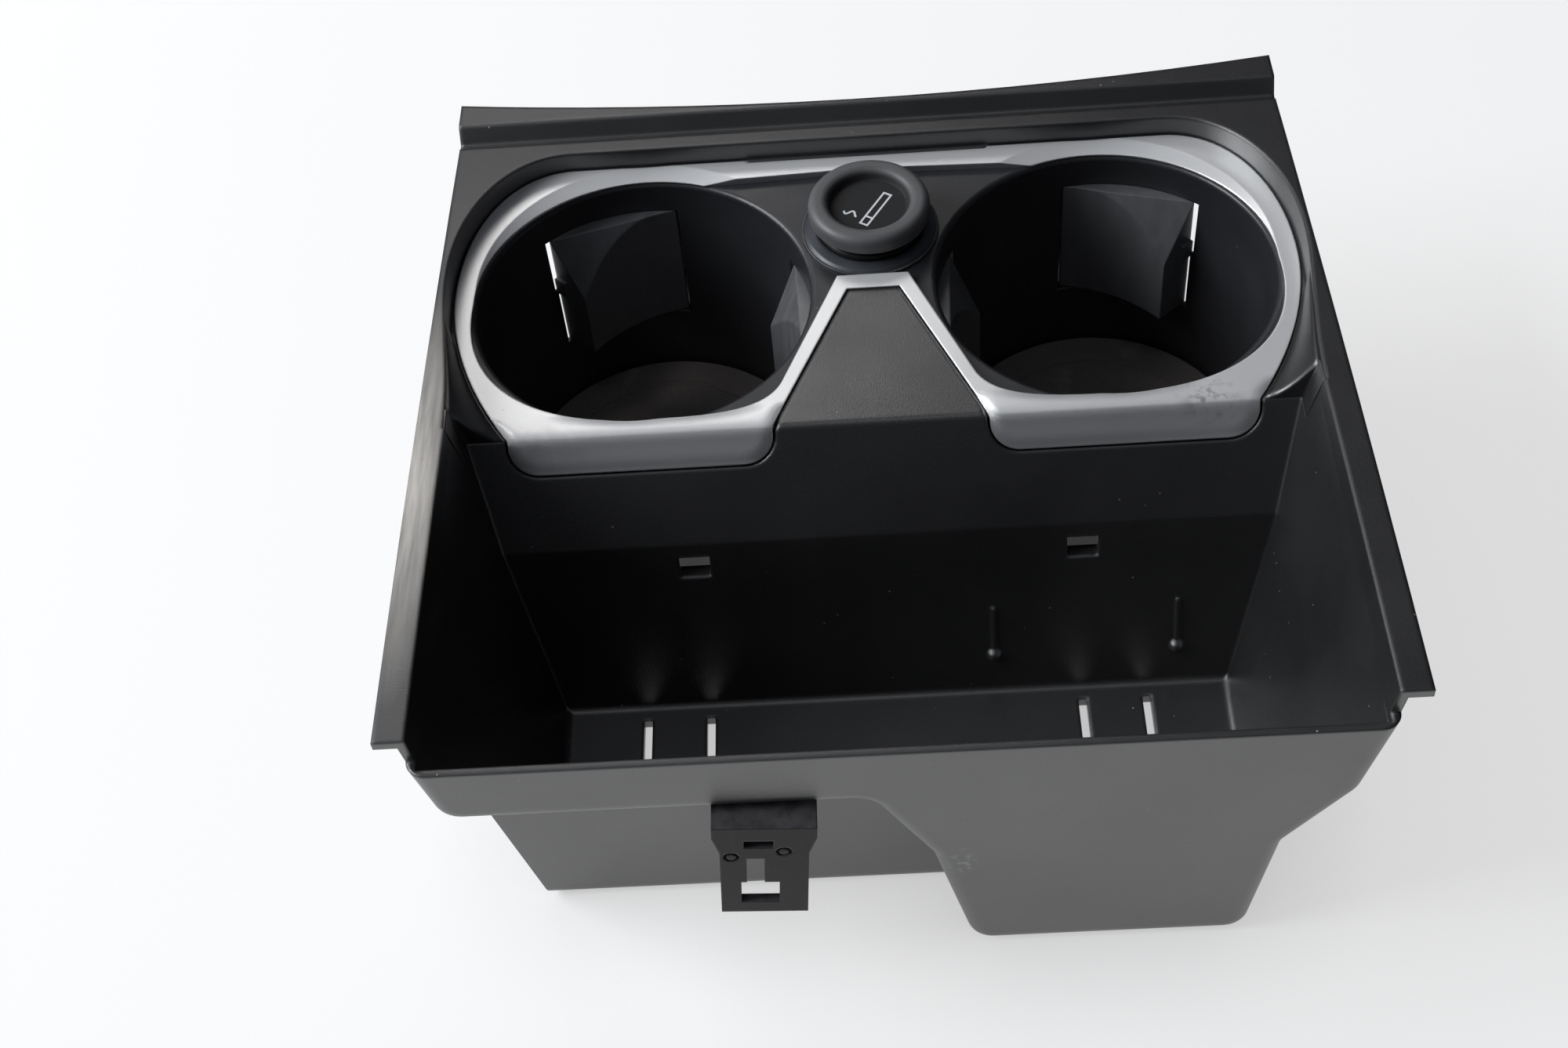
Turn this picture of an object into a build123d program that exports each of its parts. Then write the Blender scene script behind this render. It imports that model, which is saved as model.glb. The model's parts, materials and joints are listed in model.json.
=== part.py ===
from build123d import *

import os
from math import atan, cos, pi, radians, sin, sqrt, tan

# A console cup holder for a car: a moulded bin with a raised flange, a deck with two cup wells,
# sprung flaps that steady the cups, a lighter in its socket, a bright trim ring and a front clip.
# Millimetres. X to the right, Y to the back, Z up. The origin is under the middle of the part.

# Cups and their insert
cup_radius = 41.0
cup_gap = 1.68
cup_depth = 64.0
cup_draft = 1.2
cup_lip_radius = 1.2
well_wall = 1.6
well_floor = 2.2
well_foot = 2.0
mat_thickness = 2.2
mat_ring_radius = 30.9
mat_groove = 0.5
insert_flange = 3.0
insert_inset = 1.6

# Trim ring
trim_thickness = 2.0
trim_side = 5.0
trim_back_band = 4.4
trim_front_band = 4.1
trim_corner = 18.7
trim_corner_pull = 16.0
trim_corner_rise = 26.0
trim_side_shift = 1.0
trim_front_pull = 12.0
trim_front_bulge = 8.5
trim_step_x = 31.0
trim_step = 0.8
trim_bridge = 4.5
trim_rim = 2.5
lip_outer = 30.2
lip_inner = 31.3
trim_crease = 1.0
lip_length = 9.2
lip_thickness = 1.6
lip_corner = 7.0
notch_half = 6.4
notch_depth = 42.7
funnel_slope = 20.0
funnel_tilt = 2.2

# Housing
wall = 2.0
floor = 3.0
bin_depth = 96.2
bin_half_floor = 80.9
bin_half_top = 97.9
strip_lean = 1.0
lobe_setback = 17.0
lobe_left_x = 14.5
lobe_right_x = 76.0
lobe_bulge = 5.0
lobe_bulge_z = 37.0
band_height = 18.5
band_step = 5.0
band_flat = 7.0
band_slope = 13.0
shoulder_x = (-7.0, 6.0)
shoulder_drop = 24.0
rim_drop = 7.1
corner_radius = 6.0
front_radius = 4.0
flange_rise = 10.2
flange_crown = 1.6
flange_thickness = 2.2
flange_flare = 1.5
flange_setback = 4.0
flange_over_trim = 5.0
rim_edge = 0.6
nose_round = 1.5
pocket_gap = 0.6
pocket_skirt = 1.2
ledge_width = 5.0
ledge_thickness = 2.4
rear_land = 4.9
rear_lip_depth = 13.2
rear_lip_height = 3.5
rear_lip_sag = 7.2
rear_groove = 0.8
back_wall_edge = 3.6
back_wall_thickness = 3.4
back_wall_crease_drop = 24.5
back_wall_crease_run = 14.0
back_wall_run = 29.0
window_x = 45.7
window_width = 7.2
window_height = 5.4
window_below_crease = 3.4
slot_x = (45.4, 60.9)
slot_width = 2.1
slot_length = 34.0
slot_setback = 4.0
bump_x = (24.4, 68.3)
bump_rise = 10.0
bump_radius = 1.7
bump_tail = 14.0

# Screws that hold the insert down under the trim
screw_radius = 1.5
screw_length = 10.0
screw_head_radius = 2.6
screw_head = 1.6
boss_radius = 3.2

# Flaps in the cup walls, their pins and springs
hinge_angles = {"rear": 83.0, "inner": -19.5}
hinge_reach = 1.2
flap_swing = 17.0
flap_start = -0.8
flap_end = 41.0
flap_core_start = 9.0
flap_core_end = 38.6
flap_wall = 1.6
flap_ramp = 16.0
flap_depth = 9.4
flap_middle_depth = 5.8
flap_round = 1.2
flap_tab = 0.9
flap_tab_depth = 3.6
flap_tab_height = 5.0
flap_above_mat = 18.6
flap_below_rim = 8.9
window_lead = 2.7
window_slit = 7.4
knuckle_radius = 1.9
pin_radius = 1.0
pin_play = 0.05
lug_radius = 2.1
lug_height = 3.0
spring_wire = 0.25
spring_play = 0.3
spring_pitch = 2.6
spring_turns = 3.1194
spring_turned = 335.0
spring_room = 11.6
spring_wall_leg = 5.5
spring_flap_leg = 8.0

# Lighter and its socket
socket_radius = 11.3
socket_wall = 0.8
socket_length = 43.4
socket_lip = 1.0
socket_base = 3.0
bezel_radius = 17.0
bezel_gap = 0.7
bezel_height = 1.8
bezel_edge = 0.6
terminal_width = 6.3
terminal_thickness = 0.8
terminal_length = 10.0
terminal_x = 4.5
sleeve_wall = 0.9
sleeve_collar = 2.1
sleeve_shelf = 2.0
sleeve_gap = 3.4
knob_radius = 15.0
knob_height = 4.8
knob_gap = 0.3
knob_recess_radius = 10.6
knob_recess_slope = 1.3
knob_face = 0.9
knob_round = 2.1
stem_length = 5.0
plug_travel = 3.5
heater_rod = 2.2
heater_cup = 8.8
heater_cup_height = 8.0
return_spring_radius = 6.0
return_spring_wire = 0.5
return_spring_pitch = 4.4

# Front clip
clip_x = -28.6
clip_width = 18.8
clip_plate_width = 22.0
clip_drop = 34.6
clip_thickness = 2.0
clip_plate = 4.0
clip_gusset = 6.0
clip_reach = 4.0
clip_lean = 4.0
clip_tongue = 5.5
clip_rib = 2.0
clip_rib_depth = 3.0
clip_dimple_radius = 1.7
clip_dimple = 0.7
clip_dimples = ((-7.0, -11.4), (4.1, -9.3))
clip_windows = ((-1.2, -6.4, 6.2, 2.7), (-1.9, -17.1, 3.8, 9.9), (-0.9, -26.1, 8.2, 8.4))

# Clearances
fit = 0.3
flush = 0.4
slack = 0.6

# Heights, from the table up
mat_bottom_z = well_foot + well_floor
mat_top_z = mat_bottom_z + mat_thickness
insert_top_z = mat_top_z + cup_depth
seat_z = insert_top_z - insert_flange
ledge_z = seat_z - ledge_thickness
trim_top_z = insert_top_z + trim_thickness
deck_z = trim_top_z - flush
flange_rear_z = trim_top_z + flange_over_trim
flange_front_z = flange_rear_z + flange_rise
rim_z = flange_front_z - rim_drop
band_z = rim_z - band_height
tall_z = flange_front_z + corner_radius
crease_z = deck_z - back_wall_crease_drop
flap_bottom_z = mat_top_z + flap_above_mat
flap_top_z = insert_top_z - flap_below_rim
flap_middle_z = (flap_bottom_z + flap_top_z) / 2

# Depths, from the front clip to the rear lip. The deck takes the cups, and the lighter behind its nose
cups_depth = trim_front_band + 2 * cup_radius + trim_back_band
lighter_depth = notch_depth + 2 * (trim_bridge + bezel_gap + bezel_radius) + trim_step
deck_depth = max(cups_depth, lighter_depth)
total_depth = clip_reach + bin_depth + deck_depth + pocket_gap + rear_land + rear_lip_depth
clip_front_y = -total_depth / 2
rim_front_y = clip_front_y + clip_reach
lobe_front_y = rim_front_y + lobe_setback
flange_front_y = rim_front_y + flange_setback
trim_front_y = rim_front_y + bin_depth
crease_y = trim_front_y - back_wall_crease_run
foot_y = trim_front_y - back_wall_run
cup_y = trim_front_y + trim_front_band + cup_radius
trim_back_y = trim_front_y + deck_depth
flange_rear_y = trim_back_y + pocket_gap + rear_land
rear_lip_y = flange_rear_y + rear_lip_depth
notch_y = trim_front_y + notch_depth
lighter_y = notch_y + trim_bridge + bezel_gap + bezel_radius
side_y = cup_y + trim_side_shift
flange_mid_y = (flange_front_y + flange_rear_y) / 2
flange_mid_z = (flange_front_z + flange_rear_z) / 2 + flange_crown

# Widths and radii. The cups stand clear of the lighter's bezel, and the flange covers trim and bin
cup_x = sqrt((cup_radius + bezel_radius + cup_gap) ** 2 - (lighter_y - cup_y) ** 2)
trim_corner_x = cup_x + trim_corner
lip_outer_x = cup_x + lip_outer
lip_inner_x = cup_x - lip_inner
trim_half = cup_x + cup_radius + trim_side
strip_half = bin_half_top + strip_lean
flange_half_rear = max(trim_half + pocket_gap + pocket_skirt, bin_half_top + wall + flange_setback)
flange_half_front = flange_half_rear + flange_flare
well_radius = cup_radius + well_wall
pivot_radius = well_radius + hinge_reach
flap_radius = cup_radius - fit / 2
apron_overlap = 2 * corner_radius
cup_centre = Vector(-cup_x, cup_y, 0)

# The front wall slopes in under its band. The back wall leans forward in two slopes, and the trim's
# lips lie on the upper one
band_back_y = rim_front_y + band_flat
band_lean = atan((lobe_front_y - band_back_y) / band_slope)
upper_lean = atan(back_wall_crease_run / back_wall_crease_drop)
lower_lean = atan((crease_y - foot_y) / (crease_z - floor))


def leaning_plane(y, z, lean):
    """Plane of a slope of the back wall, with its Y up the slope and its Z out of the wall."""
    return Plane(origin=(0, y, z), x_dir=(1, 0, 0), z_dir=(0, -cos(lean), sin(lean)))


def round_plane(angle, radius, z):
    """Level plane beside the left cup's axis, turned so that its X points away from that axis."""
    out = Vector(cos(radians(angle)), sin(radians(angle)), 0)
    return Plane(origin=cup_centre + out * radius + Vector(0, 0, z), x_dir=out, z_dir=(0, 0, 1))


def trim_outline(grow):
    """Plan of the trim, larger all round by grow, with the notch that the deck's nose fills."""
    half = trim_half + grow
    back = trim_back_y + grow
    front = trim_front_y - grow
    lip = lip_outer_x + grow
    with BuildSketch() as plan:
        with BuildLine():
            Polyline(
                (0, back - trim_step),
                (trim_step_x - trim_step, back - trim_step),
                (trim_step_x, back),
                (trim_corner_x, back),
            )
            Bezier(
                (trim_corner_x, back),
                (trim_corner_x + trim_corner_pull, back),
                (half, side_y + trim_corner_rise),
                (half, side_y),
            )
            Bezier(
                (half, side_y),
                (half, side_y - trim_corner_pull),
                (lip + trim_front_bulge, trim_front_y + trim_front_pull),
                (lip, front),
            )
            Polyline(
                (lip, front),
                (lip_inner_x - grow, front),
                (notch_half - grow, notch_y - grow),
                (0, notch_y - grow),
            )
            mirror(about=Plane.YZ)
        make_face()
    return plan.sketch


def trim_opening():
    """Opening of the trim: both cups, squarer at their fronts, and the lighter's field between."""
    side = cup_x + cup_radius + fit
    front = cup_y - cup_radius
    edge = lip_inner_x - trim_bridge / 2
    with BuildSketch() as plan:
        with Locations((-cup_x, cup_y), (cup_x, cup_y)):
            Circle(cup_radius + fit)
        with BuildLine():
            Bezier(
                (side, cup_y),
                (side + trim_rim, cup_y - 2 * cup_radius / 3),
                (side - trim_corner_pull, front),
                (cup_x, front),
            )
            Bezier(
                (cup_x, front),
                (cup_x - trim_corner_pull, front),
                (edge + trim_bridge, front),
                (edge, front + 2 * trim_bridge),
            )
            Polyline(
                (edge, front + 2 * trim_bridge),
                (notch_half + trim_bridge / 2, notch_y + trim_bridge),
                (0, notch_y + trim_bridge),
            )
            Polyline(
                (0, trim_back_y - trim_step - trim_bridge),
                (cup_x - cup_radius / 3, trim_back_y - trim_back_band - trim_rim),
                (side, cup_y),
            )
            mirror(about=Plane.YZ)
        make_face()
    return plan.sketch


def pocket_outline(grow):
    """Plan of the well in the flange that the deck sits in, open to the bin at its front."""
    half = trim_half + pocket_gap + grow
    back = trim_back_y + pocket_gap + grow
    side = strip_half + grow
    front = trim_front_y - corner_radius
    with BuildSketch() as plan:
        with BuildLine():
            Line((0, back), (trim_corner_x, back))
            Bezier(
                (trim_corner_x, back),
                (trim_corner_x + trim_corner_pull, back),
                (half, side_y + trim_corner_rise),
                (half, side_y),
            )
            Bezier(
                (half, side_y),
                (half, side_y - trim_corner_pull),
                (side, side_y - 2 * trim_corner_pull),
                (side, front),
            )
            Line((side, front), (0, front))
            mirror(about=Plane.YZ)
        make_face()
    return plan.sketch


def bin_half(z):
    """Half of the bin's inside width at a height up to its rim."""
    return bin_half_floor + (bin_half_top - bin_half_floor) * (z - floor) / (rim_z - floor)


def apron_outline():
    """Front view of the front wall: an upper band with a deep lobe on the right."""
    with BuildSketch() as front:
        with BuildLine():
            Polyline(
                (-bin_half(rim_z) - wall, rim_z),
                (-bin_half(band_z) - wall, band_z),
                (shoulder_x[0], band_z),
                (shoulder_x[1], band_z - shoulder_drop),
                (lobe_left_x, 0),
                (lobe_right_x, 0),
                (lobe_right_x + lobe_bulge, lobe_bulge_z),
                (bin_half(band_z - band_step) + wall, band_z - band_step),
                (bin_half(rim_z) + wall, rim_z),
                close=True,
            )
        make_face()
        fillet(front.vertices().filter_by(lambda corner: corner.Y < rim_z - flush), corner_radius)
    return front.sketch


def lip_outline(grow):
    """Outline of the two front lips of the trim on their slope, larger all round by grow."""
    width = lip_outer_x - lip_inner_x + 2 * grow
    middle = (lip_outer_x + lip_inner_x) / 2
    with BuildSketch() as lips:
        with Locations((-middle, grow), (middle, grow)):
            Rectangle(width, lip_length + 2 * grow, align=(Align.CENTER, Align.MAX))
        fillet(lips.vertices().group_by(Axis.Y)[0], lip_corner + grow)
    return lips.sketch


# Housing, first its bin: a side profile clipped by a front profile
with BuildPart() as bin_block:
    with BuildSketch(Plane.YZ):
        with BuildLine():
            Polyline(
                (lobe_front_y, 0),
                (lobe_front_y, band_z - band_slope),
                (band_back_y, band_z),
                (band_back_y, rim_z),
                (flange_front_y, rim_z),
                (flange_front_y, tall_z),
                (trim_front_y + back_wall_edge, tall_z),
                (trim_front_y + back_wall_edge, ledge_z),
                (crease_y + back_wall_thickness, crease_z),
                (foot_y + back_wall_thickness, 0),
                close=True,
            )
        make_face()
    extrude(amount=flange_half_front, both=True)
    with BuildSketch(Plane.XZ):
        with BuildLine():
            Polyline(
                (0, 0),
                (bin_half_floor + wall, 0),
                (bin_half_top + wall, rim_z),
                (strip_half + wall, flange_front_z),
                (strip_half + wall, tall_z),
                (0, tall_z),
            )
            mirror(about=Plane.YZ)
        make_face()
    extrude(amount=total_depth, both=True, mode=Mode.INTERSECT)
    fillet(bin_block.edges().group_by(Axis.Z)[0], corner_radius - wall)

with BuildPart() as bin_core:
    with BuildSketch(Plane.YZ):
        with BuildLine():
            Polyline(
                (lobe_front_y + wall, floor),
                (lobe_front_y + wall, band_z - band_slope + wall * tan(band_lean / 2)),
                (band_back_y + wall * tan(pi / 4 - band_lean / 2), band_z + wall),
                (band_back_y + wall * tan(pi / 4 - band_lean / 2), rim_z),
                (rim_front_y, rim_z),
                (rim_front_y, tall_z),
                (cup_y, tall_z),
                (cup_y, deck_z),
                (trim_front_y, deck_z),
                (crease_y, crease_z),
                (foot_y, floor),
                close=True,
            )
        make_face()
    extrude(amount=flange_half_front, both=True)
    with BuildSketch(Plane.XZ):
        with BuildLine():
            Polyline(
                (0, floor),
                (bin_half_floor, floor),
                (bin_half_top, rim_z),
                (strip_half, flange_front_z),
                (strip_half, tall_z),
                (0, tall_z),
            )
            mirror(about=Plane.YZ)
        make_face()
    extrude(amount=total_depth, both=True, mode=Mode.INTERSECT)
    fillet(bin_core.edges().group_by(Axis.Z)[0], wall)

# The front wall: the upper band and its deep lobe
with BuildPart() as apron:
    with BuildSketch(Plane.XZ.offset(-rim_front_y)):
        add(apron_outline())
    extrude(amount=-(lobe_setback + apron_overlap))
    front_edges = apron.faces().sort_by(Axis.Y)[0].edges()
    fillet(front_edges.filter_by(lambda edge: edge.center().Z < rim_z - flush), front_radius)

with BuildPart() as apron_core:
    with BuildSketch(Plane.XZ.offset(-rim_front_y - wall)):
        offset(apron_outline(), amount=-wall, kind=Kind.INTERSECTION)
    extrude(amount=-(lobe_setback + apron_overlap))
    core_edges = apron_core.faces().sort_by(Axis.Y)[0].edges()
    fillet(core_edges.filter_by(lambda edge: edge.center().Z < rim_z - wall - flush), front_radius - wall)
    with BuildSketch(Plane.XZ.offset(-rim_front_y - wall)):
        with BuildLine():
            Polyline(
                (0, rim_z - wall),
                (bin_half(rim_z - wall), rim_z - wall),
                (bin_half_top, rim_z),
                (bin_half_top, tall_z),
                (0, tall_z),
            )
            mirror(about=Plane.YZ)
        make_face()
    extrude(amount=-(lobe_setback + apron_overlap))

# The flange: a gently arched sheet, wider at the front, with a rolled lip along its back
with BuildPart() as flange:
    with BuildSketch(Plane.YZ):
        with BuildLine():
            ThreePointArc(
                (flange_front_y, flange_front_z), (flange_mid_y, flange_mid_z), (flange_rear_y, flange_rear_z)
            )
            Line((flange_rear_y, flange_rear_z), (flange_rear_y, flange_rear_z - flange_thickness))
            ThreePointArc(
                (flange_rear_y, flange_rear_z - flange_thickness),
                (flange_mid_y, flange_mid_z - flange_thickness),
                (flange_front_y, flange_front_z - flange_thickness),
            )
            Line((flange_front_y, flange_front_z - flange_thickness), (flange_front_y, flange_front_z))
        make_face()
    extrude(amount=flange_half_front, both=True)
    with BuildSketch():
        Polygon(
            (-flange_half_rear, flange_rear_y),
            (-flange_half_front, flange_front_y),
            (flange_half_front, flange_front_y),
            (flange_half_rear, flange_rear_y),
            align=None,
        )
    extrude(amount=tall_z, mode=Mode.INTERSECT)

with BuildPart() as rear_lip:
    lip_top_z = flange_rear_z + rear_lip_height
    lip_low_z = flange_rear_z - rear_groove
    lip_start_y = flange_rear_y - slack
    with BuildSketch(Plane.YZ):
        with BuildLine():
            FilletPolyline(
                (lip_start_y, flange_rear_z),
                (flange_rear_y + slack, lip_low_z),
                (flange_rear_y + wall, lip_low_z),
                (flange_rear_y + 2 * wall + slack, lip_top_z),
                (rear_lip_y, lip_top_z - flush),
                radius=rear_groove,
            )
            Line((rear_lip_y, lip_top_z - flush), (rear_lip_y, lip_top_z - flange_thickness))
            FilletPolyline(
                (rear_lip_y, lip_top_z - flange_thickness),
                (flange_rear_y + 3 * wall, lip_top_z - flange_thickness),
                (flange_rear_y + 2 * wall, lip_low_z - flange_thickness),
                (lip_start_y, flange_rear_z - flange_thickness),
                radius=rear_groove,
            )
            Line((lip_start_y, flange_rear_z - flange_thickness), (lip_start_y, flange_rear_z))
        make_face()
    extrude(amount=flange_half_rear, both=True)
    sag_radius = (flange_half_rear**2 + rear_lip_sag**2) / (2 * rear_lip_sag)
    with BuildSketch():
        with Locations((0, rear_lip_y - rear_lip_sag + sag_radius)):
            Circle(sag_radius)
    extrude(amount=tall_z, mode=Mode.SUBTRACT)

# Room under the arched flange and under the lower front rim
with BuildPart() as envelope:
    with BuildSketch(Plane.YZ):
        with BuildLine():
            Polyline(
                (flange_rear_y, flange_rear_z),
                (total_depth, flange_rear_z),
                (total_depth, 0),
                (-total_depth, 0),
                (-total_depth, rim_z),
                (flange_front_y, rim_z),
                (flange_front_y, flange_front_z),
            )
            ThreePointArc(
                (flange_front_y, flange_front_z), (flange_mid_y, flange_mid_z), (flange_rear_y, flange_rear_z)
            )
        make_face()
    extrude(amount=total_depth, both=True)

screw_places = [
    (side * x, y)
    for side in (-1, 1)
    for x, y in (
        (lip_inner_x + screw_head_radius, trim_front_y + screw_head_radius + wall),
        (lip_inner_x, trim_back_y - screw_head_radius - slack),
    )
]

with BuildPart() as housing:
    add(bin_block.part)
    add(apron.part)
    add(flange.part)
    with BuildSketch(Plane.XY.offset(ledge_z)):
        add(pocket_outline(pocket_skirt))
    extrude(amount=tall_z - ledge_z)
    add(envelope.part, mode=Mode.INTERSECT)
    add(rear_lip.part)
    add(bin_core.part, mode=Mode.SUBTRACT)
    add(apron_core.part, mode=Mode.SUBTRACT)
    with BuildSketch(Plane.XY.offset(deck_z)):
        add(pocket_outline(0))
    extrude(amount=tall_z, mode=Mode.SUBTRACT)
    with BuildSketch(Plane.XY.offset(seat_z)):
        add(trim_outline(fit))
    extrude(amount=tall_z, mode=Mode.SUBTRACT)
    with BuildSketch(Plane.XY.offset(ledge_z - wall)):
        add(trim_outline(-ledge_width))
        with Locations((-cup_x, cup_y), (cup_x, cup_y)):
            Circle(well_radius + slack)
    extrude(amount=tall_z, mode=Mode.SUBTRACT)
    for hinge_angle in hinge_angles.values():
        pivot = round_plane(hinge_angle, pivot_radius, ledge_z).origin
        with BuildSketch(Plane.XY.offset(ledge_z)):
            with Locations((pivot.X, pivot.Y), (-pivot.X, pivot.Y)):
                Circle(lug_radius + fit)
        extrude(amount=ledge_thickness, mode=Mode.SUBTRACT)
    with BuildSketch(leaning_plane(trim_front_y, trim_top_z, upper_lean)):
        add(lip_outline(slack))
    extrude(amount=-(lip_thickness + slack), mode=Mode.SUBTRACT)
    with BuildSketch(Plane.XY.offset(seat_z)):
        with Locations(*screw_places):
            Circle(boss_radius)
    extrude(amount=-screw_length)
    with BuildSketch(Plane.XY.offset(seat_z)):
        with Locations(*screw_places):
            Circle(screw_radius + pin_play)
    extrude(amount=-screw_length, mode=Mode.SUBTRACT)
    with BuildSketch(Plane.XZ.offset(-trim_front_y)):
        with Locations(*[(side * window_x, crease_z - window_below_crease) for side in (-1, 1)]):
            Rectangle(window_width, window_height, align=(Align.CENTER, Align.MAX))
    extrude(amount=back_wall_run, both=True, mode=Mode.SUBTRACT)
    with BuildSketch():
        with Locations(*[(side * x, foot_y - slot_setback) for side in (-1, 1) for x in slot_x]):
            Rectangle(slot_width, slot_length, align=(Align.CENTER, Align.MAX))
    extrude(amount=floor + wall, mode=Mode.SUBTRACT)
    bump_z = floor + bump_rise
    bump_y = foot_y + bump_rise * (crease_y - foot_y) / (crease_z - floor)
    with Locations(*[(x, bump_y, bump_z) for x in bump_x]):
        Sphere(bump_radius)
    with BuildSketch(leaning_plane(bump_y, bump_z, lower_lean)):
        with Locations(*[(x, 0) for x in bump_x]):
            Rectangle(bump_radius / 2, bump_tail, align=(Align.CENTER, Align.MIN))
    extrude(amount=bump_radius / 3)
    across = housing.edges().filter_by(Axis.X).filter_by_position(Axis.Z, rim_z - pin_play, rim_z + pin_play)
    fillet(across.filter_by(lambda edge: abs(edge.center().Y - rim_front_y - wall) < fit), rim_edge)
    level = housing.faces().filter_by(Axis.Z)
    nose = level.filter_by_position(Axis.Z, deck_z - pin_play, deck_z + pin_play).sort_by(SortBy.AREA)[-1]
    fillet(nose.edges().filter_by(lambda edge: edge.center().Y < trim_front_y + fit), nose_round)

# Trim: a ring that dips to the cups at the back, with two lips folded over the bin's back wall
with BuildPart() as funnel:
    with BuildSketch(Plane.XZ):
        with BuildLine():
            high = cup_radius + 2 * trim_side
            rise = (high - cup_radius) * tan(radians(funnel_slope))
            Polyline((0, 0), (cup_radius, 0), (high, rise), (0, rise), close=True)
        make_face()
    revolve(axis=Axis.Z)

funnel_planes = [
    Plane(
        origin=(side * cup_x, cup_y, trim_top_z),
        x_dir=(1, 0, 0),
        z_dir=(0, sin(radians(funnel_tilt)), cos(radians(funnel_tilt))),
    )
    for side in (-1, 1)
]

with BuildPart() as trim_ring:
    with BuildSketch(Plane.XY.offset(insert_top_z)):
        add(trim_outline(0))
        add(trim_opening(), mode=Mode.SUBTRACT)
    extrude(amount=trim_thickness)
    with BuildSketch(leaning_plane(trim_front_y, trim_top_z, upper_lean)):
        add(lip_outline(0))
    extrude(amount=-lip_thickness)
    for place in funnel_planes:
        add(funnel.part.moved(place.location), mode=Mode.SUBTRACT)
    creases = trim_ring.edges().filter_by(Axis.X).filter_by_position(Axis.Z, trim_top_z - pin_play, tall_z)
    fillet(creases.filter_by(lambda edge: abs(edge.center().Y - trim_front_y) < fit), trim_crease)

# Insert: two wells in one moulding with the deck round the lighter
with BuildPart() as well:
    with BuildSketch(Plane(origin=cup_centre, x_dir=(1, 0, 0), z_dir=(0, -1, 0))):
        with BuildLine():
            Polyline(
                (0, well_foot),
                (cup_radius - cup_draft, well_foot),
                (cup_radius - cup_draft, 0),
                (well_radius - cup_draft, 0),
                (well_radius, insert_top_z - slack),
                (cup_radius, insert_top_z - slack),
                (cup_radius - cup_draft, mat_bottom_z),
                (0, mat_bottom_z),
                close=True,
            )
        make_face()
    revolve(axis=Axis(cup_centre, (0, 0, 1)))
    for hinge_angle in hinge_angles.values():
        turns = [radians(angle) for angle in (-window_lead, flap_end + window_slit)]
        inner = cup_radius - 2 * well_wall
        outer = well_radius + 4 * well_wall
        with BuildSketch(round_plane(hinge_angle, 0, flap_bottom_z)):
            Polygon(
                *[(inner * cos(turn), inner * sin(turn)) for turn in turns],
                *[(outer * cos(turn), outer * sin(turn)) for turn in reversed(turns)],
                align=None,
            )
        extrude(amount=flap_top_z - flap_bottom_z, mode=Mode.SUBTRACT)
        for z in (flap_bottom_z - lug_height, flap_top_z):
            with BuildSketch(round_plane(hinge_angle, pivot_radius, z)):
                Circle(lug_radius)
                Rectangle(2 * hinge_reach, 2 * lug_radius, align=(Align.MAX, Align.CENTER))
            extrude(amount=lug_height)
            with BuildSketch(round_plane(hinge_angle, pivot_radius, z)):
                Circle(pin_radius + pin_play / 2)
            extrude(amount=lug_height, mode=Mode.SUBTRACT)

with BuildPart() as cup_insert:
    add(well.part)
    mirror(about=Plane.YZ)
    with BuildSketch(Plane.XY.offset(seat_z)):
        add(trim_outline(-insert_inset))
        with Locations((-cup_x, cup_y), (cup_x, cup_y)):
            Circle(cup_radius, mode=Mode.SUBTRACT)
        with Locations((0, lighter_y)):
            Circle(socket_radius + fit, mode=Mode.SUBTRACT)
        with Locations(*screw_places):
            Circle(screw_radius + fit, mode=Mode.SUBTRACT)
    extrude(amount=insert_flange)
    with BuildSketch(Plane.XY.offset(insert_top_z)):
        with Locations(*screw_places):
            Circle(screw_head_radius + fit)
    extrude(amount=-(screw_head + fit), mode=Mode.SUBTRACT)
    rims = cup_insert.edges().filter_by(GeomType.CIRCLE).group_by(Axis.Z)[-1]
    fillet(rims.filter_by(lambda edge: abs(edge.radius - cup_radius) < fit), cup_lip_radius)

with BuildPart() as insert_screws:
    with BuildSketch(Plane.XY.offset(insert_top_z - screw_head - fit)):
        with Locations(*screw_places):
            Circle(screw_head_radius)
    extrude(amount=screw_head)
    with BuildSketch(Plane.XY.offset(insert_top_z - screw_head - fit)):
        with Locations(*screw_places):
            Circle(screw_radius)
    extrude(amount=-screw_length)

# Cup mats with a moulded ring
with BuildPart() as mat:
    mat_radius = cup_radius - cup_draft - slack
    with BuildSketch(Plane(origin=cup_centre, x_dir=(1, 0, 0), z_dir=(0, -1, 0))):
        with BuildLine():
            Polyline(
                (0, mat_bottom_z),
                (mat_radius, mat_bottom_z),
                (mat_radius, mat_top_z - mat_groove),
                (mat_radius - mat_groove, mat_top_z),
                (mat_ring_radius + 2 * mat_groove, mat_top_z),
                (mat_ring_radius + mat_groove, mat_top_z - mat_groove),
                (mat_ring_radius - mat_groove, mat_top_z - mat_groove),
                (mat_ring_radius - 2 * mat_groove, mat_top_z),
                (0, mat_top_z),
                close=True,
            )
        make_face()
    revolve(axis=Axis(cup_centre, (0, 0, 1)))


def flap_point(radius, angle, z):
    """Point in a flap's own plane, given round the cup's axis as if the flap were pushed flush."""
    return Vector(radius * cos(radians(angle)) - pivot_radius, radius * sin(radians(angle)), z)


def flap_plane(hinge_angle, z):
    """Level plane on a flap's pin, turned with the flap to where its spring holds it."""
    out = radians(hinge_angle)
    turned = radians(hinge_angle + flap_swing)
    pivot = cup_centre + Vector(cos(out), sin(out), 0) * pivot_radius
    return Plane(origin=pivot + Vector(0, 0, z), x_dir=(cos(turned), sin(turned), 0), z_dir=(0, 0, 1))


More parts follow.
